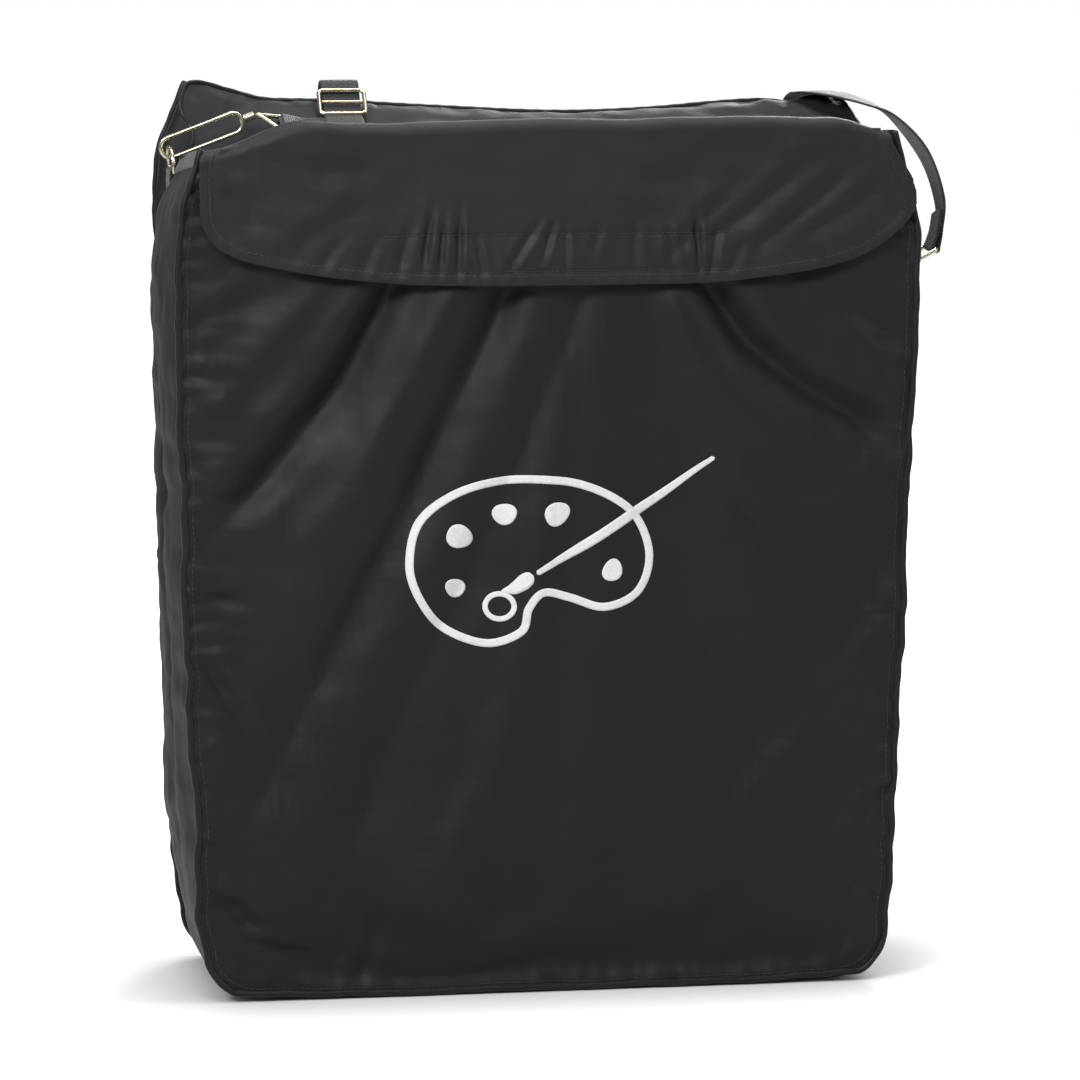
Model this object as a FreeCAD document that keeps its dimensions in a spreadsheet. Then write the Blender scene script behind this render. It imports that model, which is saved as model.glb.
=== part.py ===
import FreeCAD, Part
import os
import math
import Sketcher

# A soft carrying case of woven nylon for a folded sketch-box easel.
# Millimetres.  Seen from the front, +X is to the right, +Y to the back and
# +Z up.  The origin is the middle of the underside of the base.

doc = FreeCAD.newDocument("carry_case")
sheet = doc.addObject("Spreadsheet::Sheet", "Sheet")

SIZES = [
    # outer size of the case: half widths, levels, depth
    ("half_base", 223.0), ("half_chest", 238.0), ("half_mouth", 222.0),
    ("chest_z", 485.0), ("gusset_z", 535.0), ("front_z", 559.0), ("back_z", 566.0),
    ("half_depth", 75.0), ("corner_r", 30.0), ("cloth", 1.2),
    # seams: piping cord, gap to the cloth, joint of the gussets in the base
    ("cord_r", 2.0), ("seam_gap", 0.8), ("base_seam_x", 20.0), ("base_seam_half_gap", 0.15),
    # base board
    ("board_half_x", 190.0), ("board_half_y", 62.0), ("board_thick", 3.0),
    ("board_corner", 12.0), ("board_gap", 0.4),
    # bindings over the mouth's edges: tape, clearances, shortening at each end
    ("tape_wide", 11.0), ("tape_thick", 0.9), ("binding_side_gap", 0.15),
    ("binding_top_gap", 0.3), ("front_binding_short", 14.0), ("side_binding_short", 6.5),
    # seam tapes: distances in from the panel's edge, narrowing, gap to the panel
    ("seam_tape_outer", 1.0), ("seam_tape_inner", 2.2), ("seam_tape_less", 2.0),
    ("seam_tape_gap", 0.6),
    # fixed rear part of the top
    ("rear_left", 183.0), ("rear_right", 205.0), ("fold_y", 20.0), ("fold_z", 551.0),
    ("rear_behind_fold", 1.0), ("rear_below_fold", 1.5), ("rear_above_back", 2.0),
    # flap
    ("crest_z", 566.0), ("crest_out", 2.0), ("flap_before_fold", 0.6),
    ("flap_above_fold", 0.9), ("flap_top_short", 3.0), ("flap_top_x", 4.5),
    ("flap_left", 226.0), ("flap_right", 235.0), ("flap_low", 462.0),
    ("flap_below_crest", 2.4), ("flap_out", 3.4), ("lining", 0.8), ("layer_gap", 0.1),
    # hook-and-loop strips
    ("strip_half", 122.0), ("strip_tall", 28.0), ("strip_x", 4.0), ("strip_z", 468.0),
    ("loop_gap", 0.3), ("hook_short", 3.0), ("hook_trim", 1.0), ("hook_thick", 1.0),
    # webbing, its tabs and their patches
    ("web_wide", 25.0), ("web_thick", 1.6), ("band_offset", 16.4), ("web_gap", 0.6),
    ("right_tab_out", 1.2), ("right_tab_y", -10.0), ("right_tab_z", 470.0),
    ("left_bore_gap", 0.55), ("right_bore_gap", 0.3), ("bore_long", 60.0),
    ("patch_half_y", 20.0), ("patch_half_z", 16.0), ("patch_corner", 3.0),
    ("patch_inset", 2.8), ("left_patch_z", 506.0), ("right_patch_z", 462.0),
    # rings
    ("ring_r", 1.5), ("ring_wide", 30.0), ("ring_tall", 16.0), ("ring_corner", 3.0),
    ("rect_tall", 15.0), ("d_low_extra", 1.0), ("d_high_less", 4.0),
    # snap hook, its gate, swivel and eye
    ("wire_r", 1.4), ("snap_long", 56.0), ("snap_tall", 13.2), ("snap_r", 6.3),
    ("snap_overlap", 5.6), ("gate_from", 12.0), ("gate_to", 40.0),
    ("gate_thinner", 0.15), ("gate_gap", 0.3), ("swivel_r", 3.0), ("swivel_long", 7.0),
    ("swivel_gap", 0.3), ("eye_r", 1.3), ("eye_long", 17.0), ("eye_side_gap", 0.5),
    ("eye_gap", 1.6), ("eye_raise", 0.9), ("eye_web_gap", 0.5),
    # slider
    ("slider_wide", 30.0), ("slider_tall", 19.0), ("slider_r", 1.4), ("bar_r", 1.1),
    ("bar_gap", 0.4), ("slider_gap", 0.5), ("slider_up", 11.0),
    # strap: places of its ends, and the long part that hangs behind the case
    ("strap_left_x", -119.0), ("strap_right_x", 192.0), ("strap_fold", 29.3),
    ("strap_rise", 29.0), ("loop_half", 149.0), ("loop_drop", 370.0), ("loop_r", 90.0),
    ("loop_top_z", 561.0), ("loop_behind", 9.5),
]
SLIDER_RISE = 50.0          # degrees, slope of the strap under the slider
RIGHT_PATCH_TILT = 1.77     # degrees, lean of the right patch about Y


class Dim:
    """A length: its number, and the sheet expression that drives it."""

    def __init__(self, value, text):
        self.value = float(value)
        self.text = text

    def _pair(self, other, sign, value):
        return Dim(value, "(%s %s %s)" % (self.text, sign, other.text))

    def __add__(self, other):
        other = dim(other)
        return self._pair(other, "+", self.value + other.value)

    def __sub__(self, other):
        other = dim(other)
        return self._pair(other, "-", self.value - other.value)

    def __mul__(self, other):
        other = dim(other)
        return self._pair(other, "*", self.value * other.value)

    def __truediv__(self, other):
        other = dim(other)
        return self._pair(other, "/", self.value / other.value)

    def __neg__(self):
        return Dim(-self.value, "(0 - %s)" % self.text)

    def __radd__(self, other):
        return dim(other) + self

    def __rsub__(self, other):
        return dim(other) - self

    def __rmul__(self, other):
        return dim(other) * self


def dim(value):
    return value if isinstance(value, Dim) else Dim(value, "(%.6f)" % value)


class Sizes:
    """Holds one Dim for each alias of the sheet."""


size = Sizes()
for row, (alias, value) in enumerate(SIZES, 2):
    sheet.set("A%d" % row, alias)
    sheet.set("B%d" % row, "%g" % value)
    sheet.setAlias("B%d" % row, alias)
    setattr(size, alias, Dim(value, "Sheet." + alias))
doc.recompute()

nodes = []

# ---------------------------------------------------------------- vectors


def vector(*coordinates):
    """A vector from numbers or Dims."""
    return FreeCAD.Vector(*[dim(c).value for c in coordinates])


def along(direction, length):
    return direction * dim(length).value


def tilt(degrees):
    """Turn about Y; a positive one leans the top towards +X."""
    return FreeCAD.Rotation(FreeCAD.Vector(0, 1, 0), degrees)


def frame_turn(x_axis, z_axis):
    """Rotation that sends local X and Z to the given directions."""
    x = FreeCAD.Vector(x_axis).normalize()
    z = (z_axis - x * z_axis.dot(x)).normalize()
    y = z.cross(x)
    matrix = FreeCAD.Matrix(x.x, y.x, z.x, 0, x.y, y.y, z.y, 0, x.z, y.z, z.z, 0, 0, 0, 0, 1)
    return FreeCAD.Placement(matrix).Rotation


X_AXIS = FreeCAD.Vector(1, 0, 0)
Y_AXIS = FreeCAD.Vector(0, 1, 0)
Z_AXIS = FreeCAD.Vector(0, 0, 1)

# --------------------------------------------------------------- sketches


def new_body(name):
    body = doc.addObject("PartDesign::Body", name)
    body.Label = name
    nodes.append(body)
    return body


def new_sketch(body, name, role, lift=None):
    sketch = body.newObject("Sketcher::SketchObject", body.Name + "_" + name)
    plane = [o for o in body.Origin.OriginFeatures if o.Role == role][0]
    sketch.AttachmentSupport = (plane, [""])
    sketch.MapMode = "FlatFace"
    if lift is not None:
        lift = dim(lift)
        sketch.AttachmentOffset = FreeCAD.Placement(vector(0, 0, lift), FreeCAD.Rotation())
        sketch.setExpression("AttachmentOffset.Base.z", lift.text)
    return sketch


def drive(sketch, kind, args, value):
    """Adds one distance constraint and ties it to the sheet."""
    value = dim(value)
    index = sketch.addConstraint(Sketcher.Constraint(kind, *args, value.value))
    sketch.setExpression("Constraints[%d]" % index, value.text)


def pin_point(sketch, geometry, end, x, y):
    drive(sketch, "DistanceX", (-1, 1, geometry, end), x)
    drive(sketch, "DistanceY", (-1, 1, geometry, end), y)


def outline(body, name, role, points, bends=None, closed=True):
    """A path of lines and arcs whose every point is tied to the sheet.

    bends: number of the segment -> centre x, centre y, radius and the angle
    in degrees at the middle of the arc."""
    sketch = new_sketch(body, name, role)
    bends = bends or {}
    count = len(points) if closed else len(points) - 1
    ends = []
    for i in range(count):
        start = vector(*points[i])
        stop = vector(*points[(i + 1) % len(points)])
        ends.append((1, 2))
        if i not in bends:
            sketch.addGeometry(Part.LineSegment(start, stop), False)
            continue
        centre_x, centre_y, radius, degrees = bends[i]
        angle = math.radians(degrees)
        reach = vector(math.cos(angle), math.sin(angle))
        middle = vector(centre_x, centre_y) + along(reach, radius)
        if (middle - start).cross(stop - start).z < 0:
            # arcs run counter-clockwise, so this one is drawn backwards
            start, stop = stop, start
            ends[i] = (2, 1)
        sketch.addGeometry(Part.ArcOfCircle(start, middle, stop), False)
    for i in range(count if closed else count - 1):
        after = (i + 1) % count
        sketch.addConstraint(
            Sketcher.Constraint("Coincident", i, ends[i][1], after, ends[after][0]))
    for i in range(count):
        pin_point(sketch, i, ends[i][0], *points[i])
    if not closed:
        pin_point(sketch, count - 1, ends[-1][1], *points[-1])
    for i in bends:
        drive(sketch, "DistanceX", (-1, 1, i, 3), bends[i][0])
    return sketch


def circle(body, name, role, x, y, radius, lift=None):
    sketch = new_sketch(body, name, role, lift)
    shape = Part.Circle(vector(x, y), FreeCAD.Vector(0, 0, 1), radius.value)
    sketch.addGeometry(shape, False)
    pin_point(sketch, 0, 3, x, y)
    drive(sketch, "Radius", (0,), radius)
    return sketch


def rectangle(half_wide, half_tall):
    return [(-half_wide, -half_tall), (half_wide, -half_tall),
            (half_wide, half_tall), (-half_wide, half_tall)]


# --------------------------------------------------------------- features


def extrude(body, kind, name, sketch, length, symmetric=True):
    length = dim(length)
    feature = body.newObject(kind, body.Name + "_" + name)
    feature.Profile = sketch
    feature.Length = length.value
    feature.setExpression("Length", length.text)
    feature.SideType = "Symmetric" if symmetric else "One side"
    body.Tip = feature
    return feature


def pad(body, name, sketch, length, symmetric=True):
    return extrude(body, "PartDesign::Pad", name, sketch, length, symmetric)


def sweep(body, name, profile, spine, corners="Transformed"):
    pipe = body.newObject("PartDesign::AdditivePipe", body.Name + "_" + name)
    pipe.Profile = profile
    pipe.Spine = (spine, [""])
    pipe.Transition = corners
    body.Tip = pipe


def edges_along(shape, direction, near, tolerance=0.6):
    """Names of straight edges along a direction that pass a given point."""
    names = []
    for i, edge in enumerate(shape.Edges):
        if edge.Curve.TypeId != "Part::GeomLine" or len(edge.Vertexes) < 2:
            continue
        first, last = [v.Point for v in edge.Vertexes[:2]]
        if abs(abs((last - first).normalize().dot(direction)) - 1) > 1e-3:
            continue
        offset = (first + last) * 0.5 - near
        offset = offset - direction * offset.dot(direction)
        if offset.Length < tolerance:
            names.append("Edge%d" % (i + 1))
    return names


def round_edges(body, name, base, direction, points, radius):
    """Rounds the straight edges of a feature that pass the given points."""
    doc.recompute()
    radius = dim(radius)
    names = []
    for point in points:
        names += edges_along(base.Shape, direction, vector(*point))
    if not names:
        raise RuntimeError("no edge to round on " + body.Name)
    feature = body.newObject("PartDesign::Fillet", body.Name + "_" + name)
    feature.Base = (base, names)
    feature.Radius = radius.value
    feature.setExpression("Radius", radius.text)
    body.Tip = feature
    return feature


def place(body, x=0.0, y=0.0, z=0.0, turn=None):
    """Puts a body where it belongs; each coordinate is set by expression."""
    body.Placement = FreeCAD.Placement(vector(x, y, z), turn or FreeCAD.Rotation())
    for axis, value in (("x", x), ("y", y), ("z", z)):
        body.setExpression("Placement.Base." + axis, dim(value).text)


# ------------------------------------------------------ lines of the shell

shoulder_slope = (size.half_chest - size.half_mouth) / (size.gusset_z - size.chest_z)
side_slope = (size.half_chest - size.half_base) / size.chest_z
lean = math.degrees(math.atan(shoulder_slope.value))
panel_inset = size.cord_r * 2 + size.seam_gap
cord_y = size.half_depth - size.cord_r


def shoulder_half(z):
    """Half width of the case at a level on the line of the shoulder."""
    return size.half_mouth - (z - size.gusset_z) * shoulder_slope


def side_half(z):
    """Half width of the case at a level below the chest."""
    return size.half_base + z * side_slope


# ---------------------------------------------------------------- the shell


def flat_panel(name, top, y_mid):
    """Front or back: an upright sheet with shoulders and round lower corners."""
    body = new_body(name)
    base_x = size.half_base - panel_inset
    chest_x = size.half_chest - panel_inset
    top_x = shoulder_half(top) - panel_inset
    points = [(-base_x, panel_inset), (base_x, panel_inset), (chest_x, size.chest_z),
              (top_x, top), (-top_x, top), (-chest_x, size.chest_z)]
    flat = pad(body, "sheet", outline(body, "outline", "XZ_Plane", points), size.cloth)
    round_edges(body, "corners", flat, Y_AXIS,
                [(-base_x, 0, panel_inset), (base_x, 0, panel_inset)],
                size.corner_r - panel_inset)
    place(body, y=y_mid)


def gusset(name, side):
    """Side panel with its part of the base: one bent strip."""
    body = new_body(name)
    cloth = size.cloth
    seam_x = -size.base_seam_x + side * size.base_seam_half_gap
    bend_out = (side * size.half_base, 0.0)
    bend_in = (side * (size.half_base - cloth), cloth)
    points = [(seam_x, 0.0), bend_out,
              (side * size.half_chest, size.chest_z),
              (side * size.half_mouth, size.gusset_z),
              (side * (size.half_mouth - cloth), size.gusset_z),
              (side * (size.half_chest - cloth), size.chest_z),
              bend_in, (seam_x, cloth)]
    strip = pad(body, "strip", outline(body, "profile", "XZ_Plane", points),
                (cord_y - size.cord_r - size.seam_gap) * 2)
    bent = round_edges(body, "outer_bend", strip, Y_AXIS,
                       [(bend_out[0], 0, bend_out[1])], size.corner_r)
    round_edges(body, "inner_bend", bent, Y_AXIS,
                [(bend_in[0], 0, bend_in[1])], size.corner_r - cloth)


def piping(name, y_mid):
    """Round cord down one side, round the base and up the other side."""
    body = new_body(name)
    inset, corner = size.cord_r, size.corner_r
    mouth_x = size.half_mouth - inset
    chest_x = size.half_chest - inset
    knee_x = side_half(corner) - inset
    bend_x = size.half_base - corner
    points = [(-mouth_x, size.gusset_z), (-chest_x, size.chest_z), (-knee_x, corner),
              (-bend_x, inset), (bend_x, inset), (knee_x, corner),
              (chest_x, size.chest_z), (mouth_x, size.gusset_z)]
    bends = {2: (-bend_x, corner, corner - inset, 225),
             4: (bend_x, corner, corner - inset, 315)}
    spine = outline(body, "path", "XZ_Plane", points, bends, closed=False)
    section = circle(body, "section", "XY_Plane", -mouth_x, 0.0, size.cord_r, size.gusset_z)
    sweep(body, "cord", section, spine)
    place(body, y=y_mid)


flat_panel("front_panel", size.front_z, -cord_y)
flat_panel("back_panel", size.back_z, cord_y)
gusset("left_gusset", -1.0)
gusset("right_gusset", 1.0)
piping("front_piping", -cord_y)
piping("back_piping", cord_y)

# the stiffener that lies loose on the base
board = new_body("base_board")
corners = rectangle(size.board_half_x, size.board_half_y)
plate = pad(board, "plate", outline(board, "outline", "XY_Plane", corners),
            size.board_thick, symmetric=False)
round_edges(board, "corners", plate, Z_AXIS, [(x, y, 0) for x, y in corners], size.board_corner)
place(board, z=size.cloth + size.board_gap)

# fixed strip of the top, rising from the flap's fold to the back panel
rear = new_body("rear_top_panel")
rear_y = size.fold_y + size.rear_behind_fold
rear_z = size.fold_z - size.rear_below_fold
rear_high = size.back_z + size.rear_above_back
pad(rear, "sheet",
    outline(rear, "profile", "YZ_Plane",
            [(rear_y, rear_z), (cord_y, rear_high),
             (cord_y, rear_high + size.cloth), (rear_y, rear_z + size.cloth)]),
    size.rear_left + size.rear_right)
place(rear, x=(size.rear_right - size.rear_left) / 2)


def binding(name, role, top, length):
    """Tape folded over an edge: an upside-down U."""
    body = new_body(name)
    inner = size.cloth / 2 + size.binding_side_gap
    outer = inner + size.tape_thick
    low = top - size.tape_wide
    inner_top = top + size.binding_top_gap
    outer_top = inner_top + size.tape_thick
    points = [(-outer, low), (-inner, low), (-inner, inner_top), (inner, inner_top),
              (inner, low), (outer, low), (outer, outer_top), (-outer, outer_top)]
    pad(body, "tape", outline(body, "profile", role, points), length)
    return body


front_binding = binding("mouth_binding_front", "YZ_Plane", size.front_z,
                        (size.half_mouth - size.front_binding_short) * 2)
place(front_binding, y=-cord_y)
for name, side in (("mouth_binding_left", -1.0), ("mouth_binding_right", 1.0)):
    side_binding = binding(name, "XZ_Plane", dim(0.0),
                           (size.half_depth - size.side_binding_short) * 2)
    place(side_binding, x=side * (size.half_mouth - size.cloth / 2), z=size.gusset_z,
          turn=tilt(-side * lean))

# hook-and-loop: the soft half is sewn on the front panel
loop_strip = new_body("loop_strip")
pad(loop_strip, "strip",
    outline(loop_strip, "outline", "XZ_Plane",
            [(-size.strip_half, 0.0), (size.strip_half, 0.0),
             (size.strip_half, size.strip_tall), (-size.strip_half, size.strip_tall)]),
    size.lining)
place(loop_strip, x=size.strip_x, z=size.strip_z,
      y=-(cord_y + size.cloth / 2 + size.loop_gap + size.lining / 2))


def seam_tape(name, side):
    """Bound seam allowance inside the front or back seam."""
    body = new_body(name)
    wide = size.tape_wide - size.seam_tape_less
    insets = [panel_inset + size.seam_tape_outer, panel_inset + size.seam_tape_inner]
    outer, inner = [[(-(size.half_chest - i), size.chest_z), (-(size.half_base - i), i),
                     (size.half_base - i, i), (size.half_chest - i, size.chest_z)]
                    for i in insets]
    feature = pad(body, "tape", outline(body, "profile", "XZ_Plane", outer + inner[::-1]), wide)
    for bend, line, inset in (("outer_bend", outer, insets[0]), ("inner_bend", inner, insets[1])):
        feature = round_edges(body, bend, feature, Y_AXIS,
                              [(x, 0, z) for x, z in line[1:3]], size.corner_r - inset)
    place(body, y=side * (cord_y - size.cloth / 2 - size.seam_tape_gap - wide / 2))


seam_tape("seam_tape_front", -1.0)
seam_tape("seam_tape_back", 1.0)

# ---------------------------------------------------------------- ring tabs

band_y = size.fold_y + size.band_offset     # middle of the left tab and of the hook's webbing

# x, z round each tab's side view, from its place on the case
LEFT_TAB = [(-0.8, 4.0), (-0.8, 34.0), (-4.6, 45.6), (-8.0, 47.0),
            (-11.6, 43.6), (-10.6, 38.6), (-4.0, 27.0), (-4.0, 4.0)]
RIGHT_TAB = [(2.0, 34.0), (2.0, 8.0), (8.0, -4.4), (12.2, -5.2),
             (15.6, -1.6), (14.2, 3.2), (5.2, 12.0), (5.2, 34.0)]
# x, z of the hole for the ring's straight bar, in the same frame
LEFT_BORE = (-8.0, 42.8)
RIGHT_BORE = (11.6, -1.0)


def ring_tab(name, points, bore, radius):
    """Webbing tab with a round hole along Y."""
    body = new_body(name)
    pad(body, "webbing", outline(body, "profile", "XZ_Plane", points), size.web_wide)
    hole = circle(body, "loop_circle", "XZ_Plane", *bore, radius)
    extrude(body, "PartDesign::Pocket", "loop", hole, size.bore_long)
    return body


left_tab = ring_tab("ring_tab_left", LEFT_TAB, LEFT_BORE, size.ring_r + size.left_bore_gap)
place(left_tab, x=-size.half_chest, y=band_y, z=size.chest_z, turn=tilt(lean))

right_tab_x = size.half_chest + size.right_tab_out
right_tab = ring_tab("ring_tab_right", RIGHT_TAB, RIGHT_BORE, size.ring_r + size.right_bore_gap)
place(right_tab, x=right_tab_x, y=size.right_tab_y, z=size.right_tab_z)


def tab_patch(name, side, half_width, y, z, degrees):
    """Rectangular patch inside a gusset, behind the stitching of a tab."""
    body = new_body(name)
    corners = rectangle(size.patch_half_y, size.patch_half_z)
    patch = pad(body, "patch", outline(body, "outline", "YZ_Plane", corners), size.cloth)
    round_edges(body, "corners", patch, X_AXIS, [(0, *corner) for corner in corners],
                size.patch_corner)
    place(body, x=side * (half_width - size.patch_inset), y=y, z=z, turn=tilt(degrees))


tab_patch("tab_patch_left", -1.0, shoulder_half(size.left_patch_z), band_y,
          size.left_patch_z, lean)
tab_patch("tab_patch_right", 1.0, side_half(size.right_patch_z), size.right_tab_y,
          size.right_patch_z, RIGHT_PATCH_TILT)

# -------------------------------------------------------------------- rings


def wire_loop(name, wide, tall, low_bend, high_bend, radius, gap=None):
    """Bent wire in the XZ plane: a round-cornered loop standing on z = 0.

    With a gap the low side is open between two x positions."""
    body = new_body(name)
    half = wide / 2
    start_x = gap[1] if gap else 0.0
    low_x, high_x = half - low_bend, half - high_bend
    high_z = tall - high_bend
    points = [(start_x, 0.0), (low_x, 0.0), (half, low_bend), (half, high_z), (high_x, tall),
              (-high_x, tall), (-half, high_z), (-half, low_bend), (-low_x, 0.0)]
    if gap:
        points.append((gap[0], 0.0))
    bends = {1: (low_x, low_bend, low_bend, 315), 3: (high_x, high_z, high_bend, 45),
             5: (-high_x, high_z, high_bend, 135), 7: (-low_x, low_bend, low_bend, 225)}
    spine = outline(body, "path", "XZ_Plane", points, bends, closed=not gap)
    section = circle(body, "section", "YZ_Plane", 0.0, 0.0, radius, start_x)
    sweep(body, "wire", section, spine)
    return body


def place_on_band(body, point, turn):
    """Places a body at a point's x and z, in the middle of the band."""
    place(body, x=point.x, y=band_y, z=point.z, turn=turn)


# the left ring stands on the bore of its leaning tab
left_ring_up = FreeCAD.Vector(-0.12, 0, 1).normalize()
left_bar = (vector(-size.half_chest, 0, size.chest_z)
            + tilt(lean).multVec(vector(LEFT_BORE[0], 0, LEFT_BORE[1])))
d_ring = wire_loop("d_ring_left", size.ring_wide, size.ring_tall,
                   size.ring_corner + size.d_low_extra,
                   size.ring_wide / 2 - size.d_high_less, size.ring_r)
place_on_band(d_ring, left_bar, frame_turn(Y_AXIS, left_ring_up))

right_ring_up = FreeCAD.Vector(13.0, 0, 7.0).normalize()
right_bar_x = right_tab_x + RIGHT_BORE[0]
right_bar_z = size.right_tab_z + RIGHT_BORE[1]
rect_ring = wire_loop("rect_ring_right", size.ring_wide, size.rect_tall,
                      size.ring_corner, size.ring_corner, size.ring_r)
place(rect_ring, x=right_bar_x, y=size.right_tab_y, z=right_bar_z,
      turn=frame_turn(Y_AXIS, right_ring_up))

# ---------------------------------------------------------------- snap hook

# a long wire loop, its upper side closed by a gate
hook_dir = FreeCAD.Vector(56.0, 0, 21.0).normalize()
hook_up = FreeCAD.Vector(-hook_dir.z, 0, hook_dir.x)
hook_mid = (left_bar + along(left_ring_up, size.ring_tall)
            + along(hook_dir, size.snap_long / 2 - size.snap_overlap))
gate_mid = hook_mid + along(hook_up, size.snap_tall / 2)
gate_start = size.gate_from - size.snap_long / 2
gate_stop = size.gate_to - size.snap_long / 2
# the loop is drawn low side up, so the open side ends on top
hook_turn = frame_turn(hook_dir, -hook_up)

hook = wire_loop("hook_body", size.snap_long, size.snap_tall, size.snap_r, size.snap_r,
                 size.wire_r, gap=(gate_start, gate_stop))
place_on_band(hook, gate_mid, hook_turn)

gate = new_body("hook_gate")
pad(gate, "wire",
    circle(gate, "section", "YZ_Plane", 0.0, 0.0, size.wire_r - size.gate_thinner,
           gate_start + size.gate_gap),
    size.gate_to - size.gate_from - size.gate_gap * 2, symmetric=False)
place_on_band(gate, gate_mid, hook_turn)

hook_end = hook_mid + along(hook_dir, size.snap_long / 2 + size.wire_r + size.swivel_gap)
swivel = new_body("hook_swivel")
pad(swivel, "barrel", circle(swivel, "section", "YZ_Plane", 0.0, 0.0, size.swivel_r),
    size.swivel_long, symmetric=False)
place_on_band(swivel, hook_end, frame_turn(hook_dir, hook_up))


def slope_frame(angle):
    """Directions up a slope towards the back, and square off its upper face."""
    return (FreeCAD.Vector(0, math.cos(angle), math.sin(angle)),
            FreeCAD.Vector(0, -math.sin(angle), math.cos(angle)))


# the webbing lies on the rear slope of the top
web_thick = size.web_thick
slope_dir, slope_normal = slope_frame(
    math.atan2((rear_high - rear_z).value, (cord_y - rear_y).value))
foot = (vector(0, rear_y, rear_z)
        + along(slope_normal, size.cloth + size.web_gap + web_thick / 2))
band_mid = foot + along(slope_dir, size.band_offset)

# a three-cornered wire: point at the swivel, straight side held in the webbing
eye = new_body("hook_eye")
eye_long = size.eye_long
half_eye = size.web_wide / 2 + size.eye_side_gap
eye_path = outline(eye, "path", "XZ_Plane",
                   [(0.0, 0.0), (eye_long, half_eye), (eye_long, -half_eye)])
sweep(eye, "wire", circle(eye, "section", "XY_Plane", eye_long, 0.0, size.eye_r, 0.0),
      eye_path, "Right corner")
eye_point = hook_end + along(hook_dir, size.swivel_long + size.swivel_gap)
eye_dir = vector(eye_long, 0, band_mid.z - eye_point.z + size.eye_raise)
eye_point.x += (size.eye_r + size.eye_gap).value
place_on_band(eye, eye_point, frame_turn(eye_dir, slope_dir))

# ------------------------------------------------------------------- slider

rise_dir, rise_normal = slope_frame(math.radians(SLIDER_RISE))
fold_edge = foot + along(slope_dir, size.strap_fold)
slider_mid = (fold_edge + along(rise_dir, size.slider_up)
              + along(rise_normal, web_thick / 2 + size.slider_r + size.slider_gap))
frame_low = slider_mid - along(rise_dir, size.slider_tall / 2)
slider = wire_loop("slider_frame", size.slider_wide, size.slider_tall,
                   size.ring_corner, size.ring_corner, size.slider_r)
place(slider, x=size.strap_left_x, y=frame_low.y, z=frame_low.z,
      turn=frame_turn(X_AXIS, rise_dir))
slider_bar = new_body("slider_bar")
pad(slider_bar, "bar", circle(slider_bar, "section", "YZ_Plane", 0.0, 0.0, size.bar_r),
    size.slider_wide - size.slider_r * 2 - size.bar_gap)
place(slider_bar, x=size.strap_left_x, y=slider_mid.y, z=slider_mid.z)

# ------------------------------------------------------------------ webbing


def web_loft(sections):
    """Webbing through oblong sections: centre, width direction, normal."""
    wires = []
    for centre, wide, normal in sections:
        wide = FreeCAD.Vector(wide).normalize()
        normal = (normal - wide * normal.dot(wide)).normalize()
        across = along(wide, size.web_wide / 2)
        up = along(normal, web_thick / 2)
        ring = [centre + across + up, centre - across + up,
                centre - across - up, centre + across - up]
        wires.append(Part.makePolygon(ring + ring[:1]))
    return Part.makeLoft(wires, True, True)


def add_webbing(name, shape):
    webbing = doc.addObject("Part::Feature", name)
    webbing.Label = name
    webbing.Shape = shape.removeSplitter()
    nodes.append(webbing)


# left end: along the top from the hook's eye, then at a right angle to it up
# the slider's slope and over the back edge
band_from_x = eye_point.x + eye_long + size.eye_r + size.eye_web_gap
band_to_x = size.strap_left_x + size.web_wide / 2
band = web_loft([(vector(x, 0, 0) + band_mid, slope_dir, slope_normal)
                 for x in (band_from_x, band_to_x)])
low_end = (band_mid - along(slope_dir, size.web_wide / 2)
           + along(slope_normal, web_thick * 0.98))
crest = fold_edge + along(rise_dir, size.strap_rise)
# centre (less its x) and normal of each section
LEFT_STRAP = [
    (low_end, slope_normal),
    (fold_edge + along(slope_normal, web_thick * 0.5), slope_normal + rise_normal),
    (fold_edge + rise_dir * 3.0, rise_normal),
    (crest, rise_normal + Z_AXIS),
    (vector(0, 76.0, crest.z - 0.2), vector(0, 0.35, 1)),
    (vector(0, 84.0, crest.z - 7.0), vector(0, 1, 0.35)),
]
strap = web_loft([(vector(size.strap_left_x, 0, 0) + centre, X_AXIS, normal)
                  for centre, normal in LEFT_STRAP])
add_webbing("strap_left_webbing", strap.fuse(band))

# right end: from the rectangular ring up the side and over the shoulder
ring_top = vector(right_bar_x, 0, right_bar_z) + along(right_ring_up, size.rect_tall)
right_x = size.strap_right_x
# centre, width direction and normal of each section
RIGHT_STRAP = [
    ((ring_top.x + 1.2, size.right_tab_y, ring_top.z + 2.9), (0, 1, 0), (1, 0, -0.15)),
    ((271.0, -3.0, 506.0), (0, 1, -0.15), (1, 0, 0.05)),
    ((265.0, 14.0, 534.0), (0, 1, -0.25), (0.95, 0, 0.35)),
    ((249.0, 34.0, 558.0), (0, 1, -0.1), (0.7, 0, 0.7)),
    ((230.0, 50.0, 571.0), (0, 1, 0.1), (0.35, 0, 0.94)),
    ((210.0, 60.0, 576.5), (-0.25, 0.97, 0.1), (0.05, 0, 1)),
    ((right_x + 2.0, 70.0, 578.5), (-0.8, 0.6, 0.0), (0, 0.1, 1)),
    ((right_x, 80.0, 576.0), (-1, 0.05, 0), (0, 0.8, 0.6)),
    ((right_x, 84.5, 569.0), (-1, 0, 0), (0, 1, 0.2)),
]
add_webbing("strap_right_webbing",
            web_loft([[vector(*item) for item in section] for section in RIGHT_STRAP]))

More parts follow.
